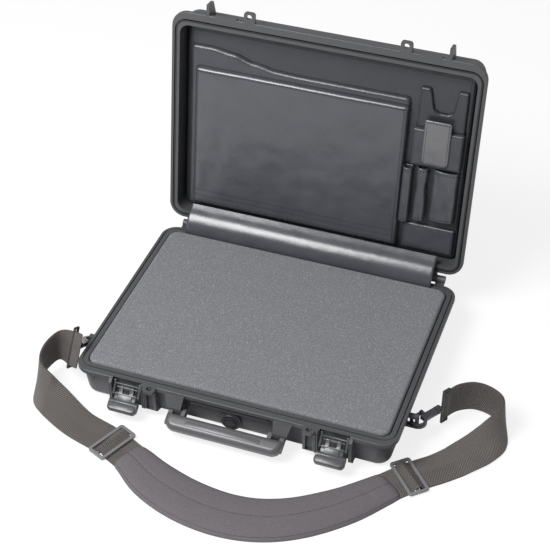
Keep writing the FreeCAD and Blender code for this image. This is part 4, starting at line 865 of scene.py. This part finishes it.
def band_route(side, start, leaving, upright, places, end, end_heading):
    """Centre, heading and width direction at many places from the hook's loop to the pad, in mm."""
    corner = Vector((side * 215.0, -158.0, 0))
    middles = [start] + [corner + Vector(p[:3]) * 10.0 for p in places] + [end]
    middles = smooth_path(middles, 9)
    turns = [places[0][3]] + [p[3] for p in places] + [places[-1][3]]
    turns = [max(v.x, 0.0) for v in smooth_path([Vector((t, 0, 0)) for t in turns], 9)]
    route = []
    for index, (middle, tilt) in enumerate(zip(middles, turns)):
        along = middles[min(index + 1, len(middles) - 1)] - middles[max(index - 1, 0)]
        level = Vector((along.x, along.y, 0)).normalized()
        if index == len(middles) - 1:
            level = end_heading
        tilt = math.radians(tilt if side < 0 else 180 - tilt)
        across = Vector((-level.y, level.x, 0)) * math.cos(tilt) + Vector((0, 0, 1)) * math.sin(tilt)
        early = max(1.0 - index / 12.0, 0.0)
        across = (across * (1 - early) + upright * early).normalized()
        along = (along - across * along.dot(across)).normalized()
        if index == 0:
            along = leaving
        low = abs(across.z) * WIDE / 2 + THICK / 2 + 0.1
        middle = Vector((middle.x, middle.y, max(middle.z, low)))
        route.append((middle, along, across))
    return route


def band_mesh(name, sections, material):
    """A closed band through sections (centre, across, thickness direction), with its length in its UVs."""
    columns, points, lengths, run = 9, [], [], 0.0
    for index, (middle, across, thick) in enumerate(sections):
        if index:
            run += (middle - sections[index - 1][0]).length
        lengths.append(run)
        for top in (1, -1):
            for c in range(columns):
                u = (c / (columns - 1) * 2 - 1) * top
                edge = 1.0 - 0.45 * max(abs(u) - 0.9, 0.0) * 10
                points.append((middle + across * (u * WIDE / 2) + thick * (top * THICK / 2 * edge)) * MM)
    ring = 2 * columns
    faces = strip_faces(len(sections), ring, wrap=True)
    faces = [tuple(reversed(f)) for f in faces]
    first, last = list(range(ring)), [(len(sections) - 1) * ring + c for c in range(ring)]
    for cap, flip in ((first, False), (last, True)):
        for c in range(columns - 1):
            quad = (cap[c], cap[c + 1], cap[ring - 2 - c], cap[ring - 1 - c])
            faces.append(tuple(reversed(quad)) if flip else quad)
    obj = add_mesh(name, points, faces, material)
    layer = obj.data.uv_layers.new(name="band")
    for loop in obj.data.loops:
        row, c = divmod(loop.vertex_index, ring)
        u = c % columns / (columns - 1)
        u = u if c < columns else 1 - u
        layer.data[loop.index].uv = (u * WIDE * MM, lengths[row] * MM)
    face_outwards(obj)
    obj.data.set_sharp_from_angle(angle=math.radians(50))
    return obj, run


def webbing(name, side, start, leaving, upright, slack, places, end, end_heading, slider_place):
    """One side's band: from its sewn end at the slider to the hook's loop, and back to the pad."""
    leaving, upright = leaving.normalized(), upright.normalized()
    route = band_route(side, start, leaving, upright, places, end, end_heading)
    outer, inner = [], []
    for middle, along, across in route:
        thick = across.cross(along).normalized() * side
        gap = (middle - slider_place).length
        beyond = (middle - slider_place).dot(end - slider_place) > 0
        hump = HUMP * (0.5 + 0.5 * math.cos(math.pi * min(gap / HUMP_REACH, 1.0))) ** 0.7
        lift = 0.0 if beyond else 1.6 * min(max((gap - 9.0) / 8.0, 0.0), 1.0)
        outer.append((middle + thick * lift + Vector((0, 0, hump)), across, thick))
        if not beyond and gap > 3.0:
            inner.append((middle, across, -thick))
    first = outer[0][2]
    fold = []
    for k in range(1, 14):
        angle = math.pi * k / 14
        out = -leaving * math.sin(angle) - first * math.cos(angle)
        centre = start + first * 0.8 - leaving * (slack * math.sin(angle) ** 0.6)
        fold.append((centre + out * (0.8 + 1.6 * math.sin(angle)), upright, out))
    return band_mesh(name, list(reversed(inner)) + fold + outer, webbing_cloth)


def loop_start(side, heading, rise, pull, lift, leaves):
    """Where a hook's loop holds the band: its centre, the way the band leaves, and its width's way."""
    h, r = math.radians(heading), math.radians(rise)
    ahead = Vector((math.cos(h) * math.cos(r), math.sin(h) * math.cos(r), math.sin(r)))
    beside = Vector((-math.sin(h), math.cos(h), 0.0))
    ring = Vector((side * 223.9, -85.0, 29.0 + lift)) + Vector((math.cos(h), math.sin(h), 0)) * pull
    turn = math.radians(leaves)
    leaving = ahead * math.cos(turn) + beside * math.sin(turn)
    return ring + ahead * 49.6, leaving, ahead.cross(beside)


right_places = ((4.8, 13.1, 3.0, 90.0), (6.6, 14.1, 3.0, 90.0), (8.6, 14.1, 2.8, 90.0), (10.4, 13.1, 2.6, 88.0),
                (11.1, 11.3, 2.4, 76.0), (10.5, 9.3, 1.6, 45.0), (9.0, 7.4, 0.8, 18.0), (7.1, 5.2, 0.4, 6.0),
                (4.8, 2.9, -0.4, 0.0), (2.0, 0.4, -0.4, 0.0))
left_places = ((-3.8, 3.9, 4.2, 88.0), (-4.9, 1.8, 3.4, 86.0), (-4.7, -0.5, 2.7, 78.0), (-3.4, -2.1, 1.6, 50.0),
               (-1.2, -3.0, 0.6, 16.0), (2.9, -4.9, -0.4, 0.0), (8.2, -6.5, -0.4, 0.0))
pad_places = ((0.0, -7.6, 4.6), (0.05, -8.5, 5.2), (0.155, -10.5, 6.2), (0.298, -12.1, 6.7), (0.453, -12.7, 6.8),
              (0.596, -12.0, 6.7), (0.727, -10.0, 6.4), (0.857, -6.7, 5.8), (0.957, -3.2, 5.0), (1.0, -1.5, 4.6))
pad_line = [Vector((-108.0 + 325.0 * t, -158.0 + 10.0 * y, 0)) for t, y, _ in pad_places]
for name, side, hook, slack, places, end, before in (
        ("left_band", -1, (-97.0, 28.0, 1.3, 1.8, -105.0), 12.0, left_places, pad_line[0], pad_line[1]),
        ("right_band", 1, (57.0, 0.0, 2.7, 0.0, 0.0), 3.0, right_places, pad_line[-1], pad_line[-2])):
    start, leaving, upright = loop_start(side, *hook)
    inward = (before - end).normalized()
    slider_place = Vector((side * 215.0, -158.0, 0)) + Vector(places[-1][:3]) * 10.0
    slider_place.z = 0.9
    band, length = webbing(name, side, start, leaving, upright, slack, places, end + inward * 12.0, inward,
                           slider_place)
    dress(band, "root", name.replace("band", "webbing"))
    print(name, "is", round(length), "mm long and", WIDE, "mm wide")

# %% [markdown]
# ## The shoulder pad
#
# The pad is two layers of knitted cloth over foam. Its cross-section is flat underneath and rounded on
# top, with thin bound edges. The seam along its middle and the short bars of stitches near its ends
# pull the cloth down, so the top dips there.

# %%
def shoulder_pad():
    middles = smooth_path(pad_line, 9)
    widths = [v.x for v in smooth_path([Vector((w * 10.0, 0, 0)) for _, _, w in pad_places], 9)]
    lengths = [0.0]
    for a, b in zip(middles, middles[1:]):
        lengths.append(lengths[-1] + (b - a).length)
    total, columns = lengths[-1], 40
    sections = []
    for index, (middle, wide, run) in enumerate(zip(middles, widths, lengths)):
        along = (middles[min(index + 1, len(middles) - 1)] - middles[max(index - 1, 0)]).normalized()
        across = Vector((-along.y, along.x, 0))
        near = min(run, total - run)
        sections.append((middle, across, wide / 2, near))
    points, rows = [], []
    for middle, across, half, near in sections:
        round_end = 7.0
        if near < round_end:
            half -= round_end - math.sqrt(round_end ** 2 - (round_end - near) ** 2)
        end_ease = min(near / 9.0, 1.0) ** 0.5
        row = []
        for c in range(columns + 1):
            u = c / columns * 2 - 1
            crown = (1.0 - abs(u) ** 3.2) ** 0.62 if abs(u) < 1 else 0.0
            high = 1.2 + 7.6 * crown * (0.35 + 0.65 * end_ease)
            high -= 0.75 * math.exp(-(u * half / 1.3) ** 2) * end_ease
            bar = math.exp(-((near - 35.0) / 1.6) ** 2) * (1.0 if abs(u) < 0.5 else 0.0)
            high -= 1.1 * bar
            high += 0.25 * bumps(middle.x + u * half, middle.y, 26.0, 31.0) * end_ease
            row.append((middle + across * (u * half) + Vector((0, 0, high))) * MM)
        rows.append(row)
        points += row
    points += [Vector((p.x, p.y, 0.0002)) for row in rows for p in row]
    faces = two_sided(len(rows), columns + 1)
    pad = add_mesh("shoulder_pad_cloth", points, faces, pad_cloth)
    face_outwards(pad)
    seam_lines = []
    for share in (0.5, 0.045, 0.955):
        c = round(share * columns)
        seam_lines.append([row[c] + Vector((0, 0, 0.0002)) for row in rows[3:-3]])
    return pad, seam_lines


pad, pad_seams = shoulder_pad()
dress(pad, "root", "shoulder_pad")
pad_thread = sew("stitches_pad", pad_seams, "root", pitch=3.0, length=2.2, radius=0.3)
print("pad points:", len(pad.data.vertices))

# %% [markdown]
# ## Small details on the hard parts
#
# A raised panel on top of the grip, an inset plate on each latch lever, rings round the valve: these are
# under a millimetre high, and only catch the light. Each one is a thin slab that rides with its part.

# %%
def slab(name, centre, half_x, half_y, high, radius, tilt, material, body, bevel=0.35):
    """A thin rounded slab: centre in mm, tilted about the x axis by an angle in degrees."""
    turn = Matrix.Rotation(math.radians(tilt), 3, "X")
    points = []
    levels = ((0.0, -high), (0.0, high - bevel), (bevel * 0.3, high - bevel * 0.3), (bevel, high))
    for inset, z in levels:
        for p in rounded_ring(half_x - inset, -half_y + inset, half_y - inset, radius, z, 5, 2):
            points.append((Vector(centre) + turn @ p) * MM)
    ring = len(points) // len(levels)
    faces = strip_faces(len(levels), ring, wrap=True)
    faces += [tuple(reversed(range(ring))), tuple(range(len(points) - ring, len(points)))]
    obj = add_mesh(name, points, faces, material)
    obj.data.set_sharp_from_angle(angle=math.radians(60))
    dress(obj, body)
    return obj


def front_place(out, drop):
    """Distances out of the front wall line and down from the rim, as (y, z) in mm."""
    return -153.4 - out, 50.0 - drop


grip_y, grip_z = front_place(26.5, 30.0)
grip_tilt = math.degrees(math.atan2(6.0, 15.5))
top = Matrix.Rotation(math.radians(grip_tilt), 3, "X") @ Vector((0, 0, 8.5))
slab("grip_panel", (0, grip_y + top.y, grip_z + top.z), 50.0, 3.4, 0.5, 3.2, grip_tilt,
     handle_grey, "handle")
for side, x in (("left", -138.7), ("right", 138.7)):
    pivot, lip = front_place(4.5, 14.0), front_place(23.6, 30.6)
    slope = math.degrees(math.atan2(lip[1] - pivot[1], pivot[0] - lip[0]))
    normal = Matrix.Rotation(math.radians(-slope), 3, "X") @ Vector((0, 0, 1))
    centre = Vector((x, (pivot[0] * 0.42 + lip[0] * 0.58), (pivot[1] * 0.42 + lip[1] * 0.58))) + normal * 1.5
    block = Vector((x, lip[0], lip[1])) + normal * 2.0
    body = side + "_lever"
    slab(body + "_lip", block, 19.3, 6.4, 3.6, 4.5, -slope * 0.5, latch_grey, body, 2.0)
    slab(body + "_inset", centre, 9.6, 5.2, 0.45, 2.0, -slope, latch_grey, body)


# %%
def ring_rows(name, centre, sizes, material, body):
    """A turned piece that faces the front: (radius, distance out) pairs round a centre, in mm."""
    per, points = 48, []
    for radius, out in sizes:
        for k in range(per):
            a = 2 * math.pi * k / per
            points.append(Vector((centre[0] + radius * math.cos(a), centre[1] - out,
                                  centre[2] + radius * math.sin(a))) * MM)
    faces = strip_faces(len(sizes), per, wrap=True)
    last = (len(sizes) - 1) * per
    faces += [(last + c, last + (c + 1) % per, (c + 1) % per, c) for c in range(per)]
    obj = add_mesh(name, points, faces, material)
    obj.data.set_sharp_from_angle(angle=math.radians(50))
    dress(obj, body)
    return obj


flange = front_place(0.6 + 1.6, 30.0)
ring_profile = ((11.2, -0.3), (11.2, 0.5), (10.9, 0.8), (10.3, 0.8), (10.0, 0.5), (10.0, -0.3))
ring_rows("valve_ring", (0, flange[0], flange[1]), ring_profile, valve_black, "root")
print("valve ring at", flange)
